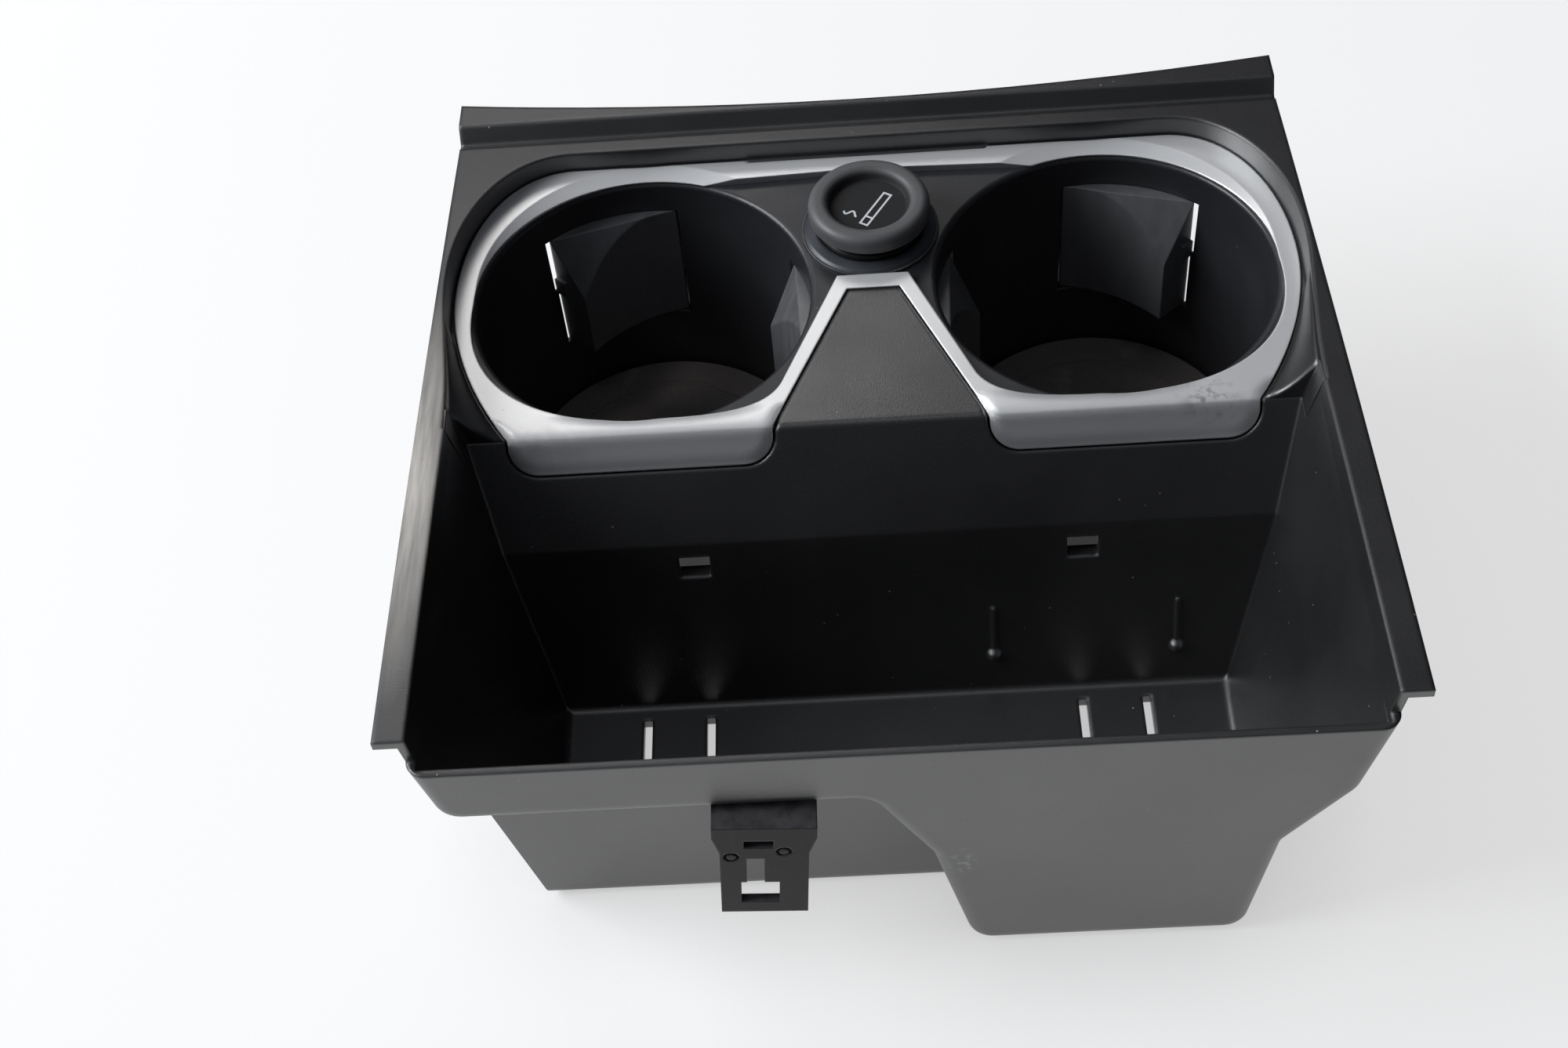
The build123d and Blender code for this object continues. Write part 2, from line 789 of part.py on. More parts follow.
def ramp_plane(hinge_angle, drop):
    """Sloping top of a flap, lowered by drop: cups push it outwards from above."""
    place = flap_plane(hinge_angle, 0)
    top = flap_top_z - fit
    corners = (
        flap_point(flap_radius, flap_start, top),
        flap_point(flap_radius, flap_end, top - flap_ramp),
        flap_point(flap_radius + flap_depth, flap_end, top),
    )
    hinge, nose, heel = [place.from_local_coords(corner) for corner in corners]
    normal = (heel - nose).cross(hinge - nose).normalized()
    if normal.Z < 0:
        normal = -normal
    return Plane(origin=hinge - normal * drop, x_dir=nose - hinge, z_dir=normal)


def make_flap(hinge_angle):
    """Hollow wedge that swings on its pin, with two knuckles and room between them for the spring."""
    bottom = flap_bottom_z + fit
    height = flap_top_z - flap_bottom_z - 2 * fit
    nose = flap_point(flap_radius, flap_end, 0)
    heel = flap_point(flap_radius + flap_depth, flap_end, 0)
    hinge = flap_point(flap_radius, flap_start, 0)
    middle = flap_point(flap_radius, (flap_start + flap_end) / 2, 0)
    back = flap_point(flap_radius + flap_middle_depth, (flap_start + flap_end) / 2, 0)
    with BuildPart() as core:
        inside = flap_radius + flap_wall
        outside = flap_radius + 4 * flap_depth
        core_middle = (flap_core_start + flap_core_end) / 2
        with BuildSketch(flap_plane(hinge_angle, bottom - fit)):
            with BuildLine():
                ThreePointArc(
                    *[flap_point(inside, angle, 0) for angle in (flap_core_start, core_middle, flap_core_end)]
                )
                Polyline(
                    flap_point(inside, flap_core_end, 0),
                    flap_point(outside, flap_core_end, 0),
                    flap_point(outside, flap_core_start, 0),
                    flap_point(inside, flap_core_start, 0),
                )
            make_face()
        extrude(amount=height + fit - flap_wall)
        split(bisect_by=ramp_plane(hinge_angle, flap_wall), keep=Keep.BOTTOM)
    with BuildPart() as flap:
        with BuildSketch(flap_plane(hinge_angle, bottom)):
            with BuildLine():
                ThreePointArc(hinge, middle, nose)
                Line(nose, heel)
                ThreePointArc(heel, back, (slack, pin_radius))
                Polyline((slack, pin_radius), (-pin_radius, 0), hinge)
            make_face()
        extrude(amount=height)
        split(bisect_by=ramp_plane(hinge_angle, 0), keep=Keep.BOTTOM)
        fillet(flap.edges().filter_by(GeomType.ELLIPSE).sort_by(SortBy.LENGTH)[-1], flap_round)
        add(core.part, mode=Mode.SUBTRACT)
        with BuildSketch(flap_plane(hinge_angle, bottom)):
            Circle(knuckle_radius)
        extrude(amount=height)
        tab_plane = Plane(
            origin=flap_plane(hinge_angle, flap_middle_z).from_local_coords(heel),
            x_dir=flap_plane(hinge_angle, 0).from_local_coords(nose)
            - flap_plane(hinge_angle, 0).from_local_coords(heel),
            z_dir=(0, 0, 1),
        )
        with BuildSketch(tab_plane):
            Rectangle(flap_tab_depth, 2 * flap_tab, align=(Align.MIN, Align.CENTER))
        extrude(amount=flap_tab_height)
        with BuildSketch(flap_plane(hinge_angle, flap_middle_z - spring_room / 2)):
            Circle(knuckle_radius + fit)
        extrude(amount=spring_room, mode=Mode.SUBTRACT)
        with BuildSketch(flap_plane(hinge_angle, bottom)):
            Circle(pin_radius + pin_play)
        extrude(amount=height, mode=Mode.SUBTRACT)
    return flap.part


def make_pin(hinge_angle):
    """Steel pin of a flap, held in the two lugs of its well."""
    with BuildPart() as pin:
        with BuildSketch(round_plane(hinge_angle, pivot_radius, flap_bottom_z - lug_height + fit)):
            Circle(pin_radius)
        extrude(amount=flap_top_z - flap_bottom_z + 2 * (lug_height - fit))
        chamfer(pin.edges().filter_by(GeomType.CIRCLE), fit)
    return pin.part


def make_spring():
    """Torsion spring about the origin, with one leg for the well's wall and one for the flap."""
    radius = pin_radius + spring_play + spring_wire
    with BuildPart() as spring:
        with BuildLine() as coil:
            Helix(pitch=spring_pitch, height=spring_pitch * spring_turns, radius=radius)
        with BuildSketch(Plane(origin=coil.line @ 0, z_dir=coil.line % 0)):
            Circle(spring_wire)
        sweep(path=coil.line, is_frenet=True)
        with BuildSketch(Plane(origin=coil.line @ 0, z_dir=-(coil.line % 0))):
            Circle(spring_wire)
        extrude(amount=spring_wall_leg)
        with BuildSketch(Plane(origin=coil.line @ 1, z_dir=coil.line % 1)):
            Circle(spring_wire)
        extrude(amount=spring_flap_leg)
    return spring.part


flap_spring = make_spring().rotate(Axis.Z, spring_turned)
spring_z = flap_middle_z - spring_pitch * spring_turns / 2
moving = {}
for place_name, hinge_angle in hinge_angles.items():
    left = {
        "flap": make_flap(hinge_angle),
        "pin": make_pin(hinge_angle),
        "spring": flap_spring.moved(round_plane(hinge_angle, pivot_radius, spring_z).location),
    }
    for kind, piece in left.items():
        moving[f"left_{place_name}_flap_{kind}".replace("flap_flap", "flap")] = piece
        moving[f"right_{place_name}_flap_{kind}".replace("flap_flap", "flap")] = piece.mirror(Plane.YZ)

# Lighter: socket in the deck, and the plug that stands in it
lighter_axis = Axis((0, lighter_y, 0), (0, 0, 1))
lighter_plane = Plane(origin=(0, lighter_y, 0), x_dir=(1, 0, 0), z_dir=(0, -1, 0))
socket_bottom_z = insert_top_z - socket_length
socket_top_z = insert_top_z + socket_lip
bezel_inner = socket_radius + 2 * socket_lip
sleeve_radius = socket_radius - socket_wall - fit
collar_z = socket_top_z + sleeve_collar
knob_z = insert_top_z + bezel_height + plug_travel + knob_gap
knob_top_z = knob_z + knob_height
hollow_z = collar_z + plug_travel + fit
knob_face_z = hollow_z + knob_face
rim_round = min(knob_round, (knob_radius - knob_recess_radius) / 2 - pin_play)
stem_radius = sleeve_radius - sleeve_wall - fit
stem_z = knob_z - stem_length
shelf_z = socket_bottom_z + socket_base + plug_travel + heater_cup_height + slack
sleeve_bottom_z = socket_bottom_z + socket_base + sleeve_gap


def turned(*points):
    """Solid of revolution about the lighter's axis from a profile of radius and height."""
    with BuildPart() as body:
        with BuildSketch(lighter_plane):
            with BuildLine():
                Polyline(*points, close=True)
            make_face()
        revolve(axis=lighter_axis)
    return body.part


socket_barrel = turned(
    (socket_radius - socket_wall, socket_bottom_z),
    (socket_radius, socket_bottom_z),
    (socket_radius, insert_top_z),
    (bezel_inner - fit, insert_top_z),
    (bezel_inner - fit, socket_top_z),
    (socket_radius - socket_wall, socket_top_z),
)
socket_bezel = turned(
    (bezel_inner, insert_top_z),
    (bezel_radius, insert_top_z),
    (bezel_radius, insert_top_z + bezel_edge),
    (bezel_radius - bezel_edge, insert_top_z + bezel_edge),
    (bezel_radius - 2 * bezel_edge, insert_top_z + 2 * bezel_edge),
    (bezel_inner + bezel_edge, insert_top_z + bezel_height),
    (bezel_inner, insert_top_z + bezel_height),
)
lighter_sleeve = turned(
    (sleeve_radius - sleeve_wall, sleeve_bottom_z),
    (sleeve_radius, sleeve_bottom_z),
    (sleeve_radius, socket_top_z),
    (bezel_inner - fit, socket_top_z),
    (bezel_inner - fit, collar_z),
    (sleeve_radius - sleeve_wall, collar_z),
    (sleeve_radius - sleeve_wall, shelf_z + sleeve_shelf),
    (heater_rod + fit, shelf_z + sleeve_shelf),
    (heater_rod + fit, shelf_z),
    (sleeve_radius - sleeve_wall, shelf_z),
)
lighter_heater = turned(
    (0, stem_z),
    (heater_rod, stem_z),
    (heater_rod, shelf_z - fit),
    (heater_cup, shelf_z - fit),
    (heater_cup, shelf_z - fit - heater_cup_height),
    (heater_cup - socket_wall, shelf_z - fit - heater_cup_height),
    (heater_cup - socket_wall, shelf_z - fit - socket_wall),
    (0, shelf_z - fit - socket_wall),
)

with BuildPart() as lighter_knob:
    with BuildSketch(lighter_plane):
        with BuildLine():
            Polyline(
                (0, stem_z),
                (stem_radius, stem_z),
                (stem_radius, hollow_z),
                (bezel_inner, hollow_z),
                (bezel_inner, knob_z),
                (knob_radius, knob_z),
                (knob_radius, knob_top_z),
                (knob_recess_radius, knob_top_z),
                (knob_recess_radius - knob_recess_slope, knob_face_z),
                (0, knob_face_z),
                close=True,
            )
        make_face()
    revolve(axis=lighter_axis)
    fillet(lighter_knob.edges().filter_by(GeomType.CIRCLE).group_by(Axis.Z)[-1], rim_round)
    rims = lighter_knob.edges().filter_by(GeomType.CIRCLE)
    low_rims = rims.filter_by_position(Axis.Z, knob_z - fit, knob_z + fit)
    fillet(low_rims.sort_by(SortBy.RADIUS)[-1], slack)

with BuildPart() as lighter_spring:
    with BuildLine() as return_coil:
        Helix(
            pitch=return_spring_pitch,
            height=stem_z - shelf_z - sleeve_shelf - 2 * (return_spring_wire + pin_play),
            radius=return_spring_radius,
            center=(0, lighter_y, shelf_z + sleeve_shelf + return_spring_wire + pin_play),
        )
    with BuildSketch(Plane(origin=return_coil.line @ 0, z_dir=return_coil.line % 0)):
        Circle(return_spring_wire)
    sweep(path=return_coil.line, is_frenet=True)

with BuildPart() as socket_base_disc:
    with BuildSketch(Plane.XY.offset(socket_bottom_z)):
        with Locations((0, lighter_y)):
            Circle(socket_radius - socket_wall - pin_play)
    extrude(amount=socket_base)

with BuildPart() as socket_terminals:
    with BuildSketch(Plane.XY.offset(socket_bottom_z)):
        with Locations((-terminal_x, lighter_y), (terminal_x, lighter_y)):
            Rectangle(terminal_thickness, terminal_width)
    extrude(amount=-terminal_length)

# Front clip: an angle with windows, hung under the band with a slight lean
clip_plane = Plane(
    origin=(clip_x, clip_front_y, band_z - fit - clip_plate_width / 2 * sin(radians(clip_lean))),
    x_dir=(cos(radians(clip_lean)), 0, -sin(radians(clip_lean))),
    z_dir=(0, -1, 0),
)
with BuildPart() as front_clip:
    with BuildSketch(clip_plane):
        Rectangle(clip_width, clip_drop, align=(Align.CENTER, Align.MAX))
        for side in (-1, 1):
            Polygon(
                (side * clip_width / 2, -clip_plate),
                (side * clip_plate_width / 2, -clip_plate),
                (side * clip_width / 2, -clip_plate - clip_gusset),
                align=None,
            )
        for x, y, width, height in clip_windows:
            with Locations((x, y)):
                Rectangle(width, height, mode=Mode.SUBTRACT)
    extrude(amount=-clip_thickness)
    with BuildSketch(clip_plane):
        with Locations(*clip_dimples):
            Circle(clip_dimple_radius)
            Circle(clip_dimple_radius - clip_dimple, mode=Mode.SUBTRACT)
    extrude(amount=-clip_dimple, mode=Mode.SUBTRACT)
    with BuildSketch(clip_plane):
        Rectangle(clip_plate_width, clip_plate, align=(Align.CENTER, Align.MAX))
    extrude(amount=-(clip_reach + clip_tongue))
    with BuildSketch(clip_plane):
        with Locations((clip_width / 2, 0)):
            Rectangle(clip_rib, clip_drop, align=(Align.MAX, Align.MAX))
    extrude(amount=-(clip_thickness + clip_rib_depth))

pieces = {
    "housing": housing.part,
    "trim_ring": trim_ring.part,
    "cup_insert": cup_insert.part,
    "insert_screws": insert_screws.part,
    "left_cup_mat": mat.part,
    "right_cup_mat": mat.part.mirror(Plane.YZ),
    "socket_barrel": socket_barrel,
    "socket_bezel": socket_bezel,
    "socket_base": socket_base_disc.part,
    "socket_terminals": socket_terminals.part,
    "lighter_sleeve": lighter_sleeve,
    "lighter_knob": lighter_knob.part,
    "lighter_heater": lighter_heater,
    "lighter_spring": lighter_spring.part,
    "front_clip": front_clip.part,
    **moving,
}

os.makedirs("parts", exist_ok=True)
for name, piece in pieces.items():
    piece.label = name
    export_step(piece, f"parts/{name}.step")
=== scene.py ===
import json
from math import atan2, cos, pi, radians, sin

import bmesh
import bpy
from mathutils import Matrix, Vector

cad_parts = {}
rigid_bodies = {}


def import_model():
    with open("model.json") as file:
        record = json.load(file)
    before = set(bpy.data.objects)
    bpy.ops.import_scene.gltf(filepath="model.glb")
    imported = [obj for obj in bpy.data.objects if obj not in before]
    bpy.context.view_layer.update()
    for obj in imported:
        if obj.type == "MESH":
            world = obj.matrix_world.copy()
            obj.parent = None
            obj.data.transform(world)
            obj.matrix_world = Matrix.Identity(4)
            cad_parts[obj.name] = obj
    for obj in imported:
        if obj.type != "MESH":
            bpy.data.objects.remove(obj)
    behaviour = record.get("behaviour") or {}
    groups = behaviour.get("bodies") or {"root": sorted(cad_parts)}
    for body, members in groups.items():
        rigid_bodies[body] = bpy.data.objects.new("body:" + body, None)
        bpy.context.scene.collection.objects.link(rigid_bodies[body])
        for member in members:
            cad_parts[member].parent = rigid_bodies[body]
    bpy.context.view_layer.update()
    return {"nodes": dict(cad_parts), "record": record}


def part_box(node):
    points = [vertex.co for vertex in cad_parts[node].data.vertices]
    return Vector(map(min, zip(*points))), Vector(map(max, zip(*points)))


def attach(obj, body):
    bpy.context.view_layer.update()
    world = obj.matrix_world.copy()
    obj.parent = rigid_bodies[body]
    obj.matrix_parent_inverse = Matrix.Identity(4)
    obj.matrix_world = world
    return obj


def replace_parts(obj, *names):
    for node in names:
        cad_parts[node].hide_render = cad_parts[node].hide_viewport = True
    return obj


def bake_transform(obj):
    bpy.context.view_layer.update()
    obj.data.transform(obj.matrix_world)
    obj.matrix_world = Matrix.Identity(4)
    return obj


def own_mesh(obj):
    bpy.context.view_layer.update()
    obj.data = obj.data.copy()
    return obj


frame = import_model()
nodes = frame["nodes"]

# A millimetre, in the frame's metres
MM = 0.001

# Camera, in metres: where the picture was taken from, and which way its middle and its top point
CAMERA_PLACE = (-0.00058, -0.34137, 0.45454)
CAMERA_AIM = (-0.0450, 0.6264, -0.7782)
CAMERA_UP = (0.0544, 0.7794, 0.6242)
CAMERA_LENS = 50.84
CAMERA_SENSOR = 36.0

# Table top, in metres: it glows where it is seen, and a painted contact shadow dims that glow within a short
# reach of the object
FLOOR_SIZE = 8.0
FLOOR_TONES = ((0.35, 0.35, 0.35), (0.335, 0.338, 0.343))
FLOOR_CLOUD = 0.5
FLOOR_GLOW = 0.66
SHADE_REACH = 0.03
SHADE_GLOW = 0.72
SHADE_SAMPLES = 8

# Light: a faint dome that is brighter along its axis, and soft lamps, each with its place, size, power and
# colour. The window lamp stands behind the object and shows in its satin surfaces as a window would
DOME_AXIS = (-0.8, -0.1, 0.6)
DOME_LOW = (0.025, 0.026, 0.032, 1)
DOME_HIGH = (0.21, 0.22, 0.245, 1)
DOME_STRENGTH = 1.0
LAMPS = {
    "side_lamp": ((-1.5, 0.1, 1.1), (1.3, 1.0), 37.0, (0.95, 0.98, 1.0)),
    "top_lamp": ((0.0, -0.25, 1.7), (0.6, 0.4), 0.7, (0.97, 0.98, 1.0)),
    "window_lamp": ((-0.30, 1.14, 1.185), (0.72, 0.40), 2.3, (1.0, 0.985, 0.96)),
}

# Radii that catch the light, in millimetres: on most edges, on the housing's, and on the fold of the trim's
# lips, which lies in the soft spot given by its middle and its reach
EDGE_ROUND = 0.6
MOULD_ROUND = 1.3
FOLD_ROUND = 4.5
ROUND_SAMPLES = 6
LIP_FOLD = ((0.0, -5.0, 71.5), (300.0, 8.0, 8.0))

# Soft spots in the frame, each given by its middle and its reach, in millimetres: a painted sheen on the
# flange, a darker patch above the clip, and marks of use on the lobe and the trim
FLANGE_PAINTED_SHEEN = ((-103.5, -26.0, 84.8), (8.0, 66.0, 9.0))
CLIP_DARK_PATCH = ((-28.0, -100.7, 66.5), (9.0, 6.0, 5.0))
LOBE_SCUFF = ((12.5, -99.5, 37.0), (4.5, 5.0, 7.0))
TRIM_SMUDGE = ((75.0, -3.0, 71.5), (9.0, 7.0, 6.0))
TRIM_RUB = ((-78.0, -4.0, 70.0), (16.0, 8.0, 8.0))

# Colours: tones are the two ends between which a finish clouds, and single ones are laid over it
HOUSING_TONES = ((0.006, 0.006, 0.0068), (0.010, 0.010, 0.0108))
HOUSING_GRAIN = (0.015, 0.015, 0.016)
HOUSING_DUST = (0.30, 0.29, 0.28)
# Painted sheen: the pale colour that stands in for light reflected on the flange's top
PAINTED_SHEEN_COLOUR = (0.66, 0.61, 0.56)
DARK_PATCH_COLOUR = (0.008, 0.008, 0.009)
SCUFF_COLOUR = (0.50, 0.49, 0.47)
CLIP_TONES = ((0.010, 0.0095, 0.011), (0.018, 0.017, 0.019))
CLIP_PALER_TOP = (0.13, 0.127, 0.135)
CLIP_SCRATCH = (0.06, 0.058, 0.06)
SILVER_TONES = ((0.80, 0.80, 0.805), (0.88, 0.88, 0.885))
SILVER_RUBBED = (0.50, 0.46, 0.45)
SILVER_SMUDGE = (0.16, 0.16, 0.17)
SILVER_HAIRLINE = (0.80, 0.80, 0.80)
SILVER_SPECK = (0.12, 0.12, 0.12)
INSERT_TONES = ((0.017, 0.0175, 0.0205), (0.026, 0.0265, 0.030))
INSERT_DUST = (0.24, 0.24, 0.25)
FLAP_TONES = ((0.075, 0.076, 0.081), (0.125, 0.127, 0.135))
MAT_TONES = ((0.090, 0.080, 0.074), (0.150, 0.135, 0.125))
MAT_DUST = (0.32, 0.295, 0.27)
KNOB_TONES = ((0.085, 0.085, 0.088), (0.12, 0.12, 0.125))
KNOB_SUNK = (0.010, 0.010, 0.0105)
KNOB_DUST = (0.20, 0.20, 0.20)
BEZEL_TONES = ((0.028, 0.031, 0.038), (0.045, 0.049, 0.058))
KNURL_TONES = ((0.06, 0.058, 0.055), (0.22, 0.20, 0.17))
PRINT_TONES = ((0.66, 0.67, 0.70), (0.80, 0.81, 0.84))
NECK_TONES = ((0.009, 0.009, 0.010), (0.016, 0.016, 0.017))
SOCKET_TONES = ((0.48, 0.49, 0.50), (0.58, 0.59, 0.61))
BRIGHT_TONES = ((0.46, 0.46, 0.48), (0.60, 0.60, 0.62))
BRASS_TONES = ((0.66, 0.48, 0.20), (0.76, 0.60, 0.30))

# Roughness of the drawn metals, and the lines that drawing leaves round their upright axis, in millimetres
SOCKET_ROUGH = (0.28, 0.44)
BRIGHT_ROUGH = (0.20, 0.34)
BRASS_ROUGH = (0.22, 0.36)
DRAWN_LINE = 0.25
DRAWN_STRETCH = (20, 20, 1)
DRAWN_HEIGHT = 0.006
DRAWN_CLOUD = 5

# Range that most of a noise falls in, and how sharply a speck begins among its cells and at its edge
NOISE_LOW = 0.3
NOISE_HIGH = 0.7
SPECK_STEP = 0.01
SPECK_CORE = 0.6

# Lighter pictogram on the knob's sunk face: a cigarette and its smoke, in millimetres from the knob's axis
KNOB_RECESS = 2.6
SIGN_STROKE = 0.5
SIGN_HEIGHT = 0.08
STICK_MIDDLE = (1.62, -1.3)
STICK_TURN = 58.2
STICK_LENGTH = 12.4
STICK_WIDTH = 2.5
EMBER_LENGTH = 2.7
SMOKE_START = (-6.2, -1.3)
SMOKE_END = (-2.9, -3.0)
SMOKE_SWING = 0.75
SMOKE_WAVES = 1.25
SMOKE_POINTS = 18
MITRE_LIMIT = 0.3

# Middle and reach of the knob's sunk face, and the height at which the sleeve turns into its black neck
KNOB_FACE = ((0.0, 60.4, 78.2), (11.0, 11.0, 11.0))
NECK_FOOT = 71.4
NECK_BLEND = 0.1

# Ribs on each well that shade a flap's hinge, and the lip that narrows the slit at its free end: angles
# from the hinge round the cup in degrees, radii from the cup's axis and heights in millimetres
HINGE_WEB = ((-9.6, -8.6), (41.2, 46.6), (25.4, 61.2))
HINGE_SHADE = ((-8.6, 1.5), (46.1, 46.6), (25.4, 61.2))
SLIT_LIP = ((46.9, 49.0), (41.0, 41.75), (24.6, 44.0))
RIB_STEPS = 4

# How near points count as one
SAME_POINT = 0.001

# Coves that slope from the flange down to the trim's front corners: in plan, the curves of the trim's side
# and of the flange's inner edge from back to front, in millimetres. The flange's arc is its height at a
# place along it, that place, and its slope and bend there
TRIM_SIDE = ((102.8, 41.6), (102.8, 25.6), (95.5, 7.5), (87.2, -4.55))
FLANGE_SIDE = ((103.1, 41.6), (103.1, 28.0), (99.7, 12.0), (99.1, -4.55))
FLANGE_ARC = (84.1, -2.6, -0.0542, -0.00018)
COVE_START = 0.3
COVE_ROWS = 14
COVE_COLUMNS = 8
COVE_CURVE = 1.7
COVE_DROP = 0.35
COVE_LOW = 71.95
COVE_UNDER = 70.6

# Riser that carries the bin's side wall up to the flange in front of each cove: its section and its ends
RISER_SECTION = ((95.95, 71.9), (98.45, 84.15), (99.1, 84.15), (99.1, 71.9))
RISER_ENDS = (-10.6, -4.5)

# Knurled edge of the lighter's bezel
KNURL_TEETH = 180
KNURL_INSET = 0.32
KNURL_TOOTH = 0.22
KNURL_HEIGHT = 0.3
TOOTH_SIDES = 4
BEZEL_STEP = 0.6


def make_camera():
    """Camera at the picture's own viewpoint."""
    aim = Vector(CAMERA_AIM).normalized()
    right = aim.cross(Vector(CAMERA_UP)).normalized()
    turn = Matrix((right, right.cross(aim), -aim)).transposed()
    data = bpy.data.cameras.new("camera")
    data.lens = CAMERA_LENS
    data.sensor_width = CAMERA_SENSOR
    camera = bpy.data.objects.new("camera", data)
    bpy.context.collection.objects.link(camera)
    camera.matrix_world = Matrix.Translation(CAMERA_PLACE) @ turn.to_4x4()
    bpy.context.scene.camera = camera


def make_dome():
    """Soft light that fades away from the dome's axis."""
    world = bpy.data.worlds.new("dome")
    world.use_nodes = True
    bpy.context.scene.world = world
    tree = world.node_tree
    place = tree.nodes.new("ShaderNodeTexCoord")
    along = tree.nodes.new("ShaderNodeVectorMath")
    along.operation = "DOT_PRODUCT"
    along.inputs[1].default_value = Vector(DOME_AXIS).normalized()
    fade = tree.nodes.new("ShaderNodeValToRGB")
    fade.color_ramp.elements[0].color = DOME_LOW
    fade.color_ramp.elements[1].color = DOME_HIGH
    sky = tree.nodes["Background"]
    sky.inputs["Strength"].default_value = DOME_STRENGTH
    tree.links.new(place.outputs["Generated"], along.inputs[0])
    tree.links.new(along.outputs["Value"], fade.inputs["Fac"])
    tree.links.new(fade.outputs["Color"], sky.inputs["Color"])


def make_lamp(name, place, size, power, colour):
    """Soft rectangular lamp that faces the object."""
    data = bpy.data.lights.new(name, "AREA")
    data.shape = "RECTANGLE"
    data.size, data.size_y = size
    data.energy = power
    data.color = colour
    lamp = bpy.data.objects.new(name, data)
    bpy.context.collection.objects.link(lamp)
    lamp.location = place
    lamp.rotation_euler = (-Vector(place)).to_track_quat("-Z", "Y").to_euler()


class Finish:
    """A material in the making: its nodes, its shader and a surface point's place. Sizes are millimetres."""

    def __init__(self, name, **sockets):
        self.material = bpy.data.materials.new(name)
        self.material.use_nodes = True
        self.tree = self.material.node_tree
        self.shader = self.tree.nodes["Principled BSDF"]
        self.place = self.add("ShaderNodeTexCoord").outputs["Object"]
        for socket, value in sockets.items():
            self.shader.inputs[socket.replace("_", " ")].default_value = value

    def add(self, kind, inputs=(), **settings):
        """New node with its settings, and with each input either a number or a link."""
        node = self.tree.nodes.new(kind)
        for setting, value in settings.items():
            setattr(node, setting, value)
        for socket, value in dict(inputs).items():
            if isinstance(value, bpy.types.NodeSocket):
                self.tree.links.new(value, node.inputs[socket])
            else:
                node.inputs[socket].default_value = value
        return node

    def noise(self, size, detail=2.0, stretch=(1, 1, 1)):
        """Cloudy noise whose blobs measure about size, longer along the stretched axes."""
        place = self.add("ShaderNodeMapping", {"Vector": self.place, "Scale": stretch}, vector_type="TEXTURE")
        inputs = {"Vector": place.outputs["Vector"], "Scale": 1 / (size * MM), "Detail": detail}
        return self.add("ShaderNodeTexNoise", inputs).outputs["Fac"]

    def remap(self, value, low, high, to_low=0.0, to_high=1.0):
        """The value taken from one range to another and held inside it."""
        inputs = {"Value": value, "From Min": low, "From Max": high, "To Min": to_low, "To Max": to_high}
        return self.add("ShaderNodeMapRange", inputs).outputs["Result"]

    def spread(self, noise, low, high):
        """The range that most of a noise falls in, taken to another."""
        return self.remap(noise, NOISE_LOW, NOISE_HIGH, low, high)

    def times(self, *values):
        """Product of several masks."""
        product = values[0]
        for value in values[1:]:
            node = self.add("ShaderNodeMath", {0: product, 1: value}, operation="MULTIPLY")
            product = node.outputs["Value"]
        return product

    def plus(self, first, second):
        """Sum of two masks, held at one."""
        node = self.add("ShaderNodeMath", {0: first, 1: second}, operation="ADD", use_clamp=True)
        return node.outputs["Value"]

    def specks(self, spacing, share, size):
        """Scattered specks in a share of the cells of a given spacing, with their size as part of a cell."""
        cells = self.add("ShaderNodeTexVoronoi", {"Vector": self.place, "Scale": 1 / (spacing * MM)})
        chance = self.add("ShaderNodeSeparateColor", {"Color": cells.outputs["Color"]})
        chosen = self.remap(chance.outputs["Red"], 1 - share, 1 - share + SPECK_STEP)
        return self.times(chosen, self.remap(cells.outputs["Distance"], size, size * SPECK_CORE))

    def spot(self, mark):
        """Soft spot round a middle, from none at its reach to full at the middle."""
        middle, reach = [[length * MM for length in lengths] for lengths in mark]
        inputs = {"Vector": self.place, "Location": middle, "Scale": reach}
        local = self.add("ShaderNodeMapping", inputs, vector_type="TEXTURE").outputs["Vector"]
        fade = self.add("ShaderNodeTexGradient", {"Vector": local}, gradient_type="SPHERICAL")
        return fade.outputs["Fac"]

    def facing_up(self, low=0.3, high=0.8):
        """How far a surface faces up, where dust can lie."""
        normal = self.add("ShaderNodeNewGeometry").outputs["Normal"]
        split = self.add("ShaderNodeSeparateXYZ", {"Vector": normal})
        return self.remap(split.outputs["Z"], low, high)

    def above(self, height, blend):
        """Mask of what lies above a height, with a short blend below it."""
        split = self.add("ShaderNodeSeparateXYZ", {"Vector": self.place})
        return self.remap(split.outputs["Z"], (height - blend) * MM, height * MM)

    def mix(self, share, first, second):
        """Blend of two colours, each a colour or a link."""
        inputs = {0: share, 6: self.colour(first), 7: self.colour(second)}
        return self.add("ShaderNodeMix", inputs, data_type="RGBA").outputs[2]

    def stain(self, under, mask, colour, strength=1.0):
        """A colour laid over another where a mask says, as strongly as given."""
        return self.mix(self.times(mask, strength), under, colour)

    def colour(self, value):
        """A colour with its alpha, or a link as it is."""
        return value if isinstance(value, bpy.types.NodeSocket) else (*value, 1)

    def drive(self, socket, value):
        """Link a result to the shader."""
        self.tree.links.new(value, self.shader.inputs[socket])

    def rough(self, noise, low, high):
        """Roughness that follows a noise."""
        self.drive("Roughness", self.spread(noise, low, high))

    def rounded(self, radius):
        """Normal that turns softly over an edge."""
        return self.add("ShaderNodeBevel", {"Radius": radius * MM}, samples=ROUND_SAMPLES).outputs["Normal"]

    def softer(self, share, first, second):
        """Blend of two normals."""
        inputs = {0: share, 4: first, 5: second}
        blend = self.add("ShaderNodeMix", inputs, data_type="VECTOR").outputs[1]
        return self.add("ShaderNodeVectorMath", {0: blend}, operation="NORMALIZE").outputs["Vector"]

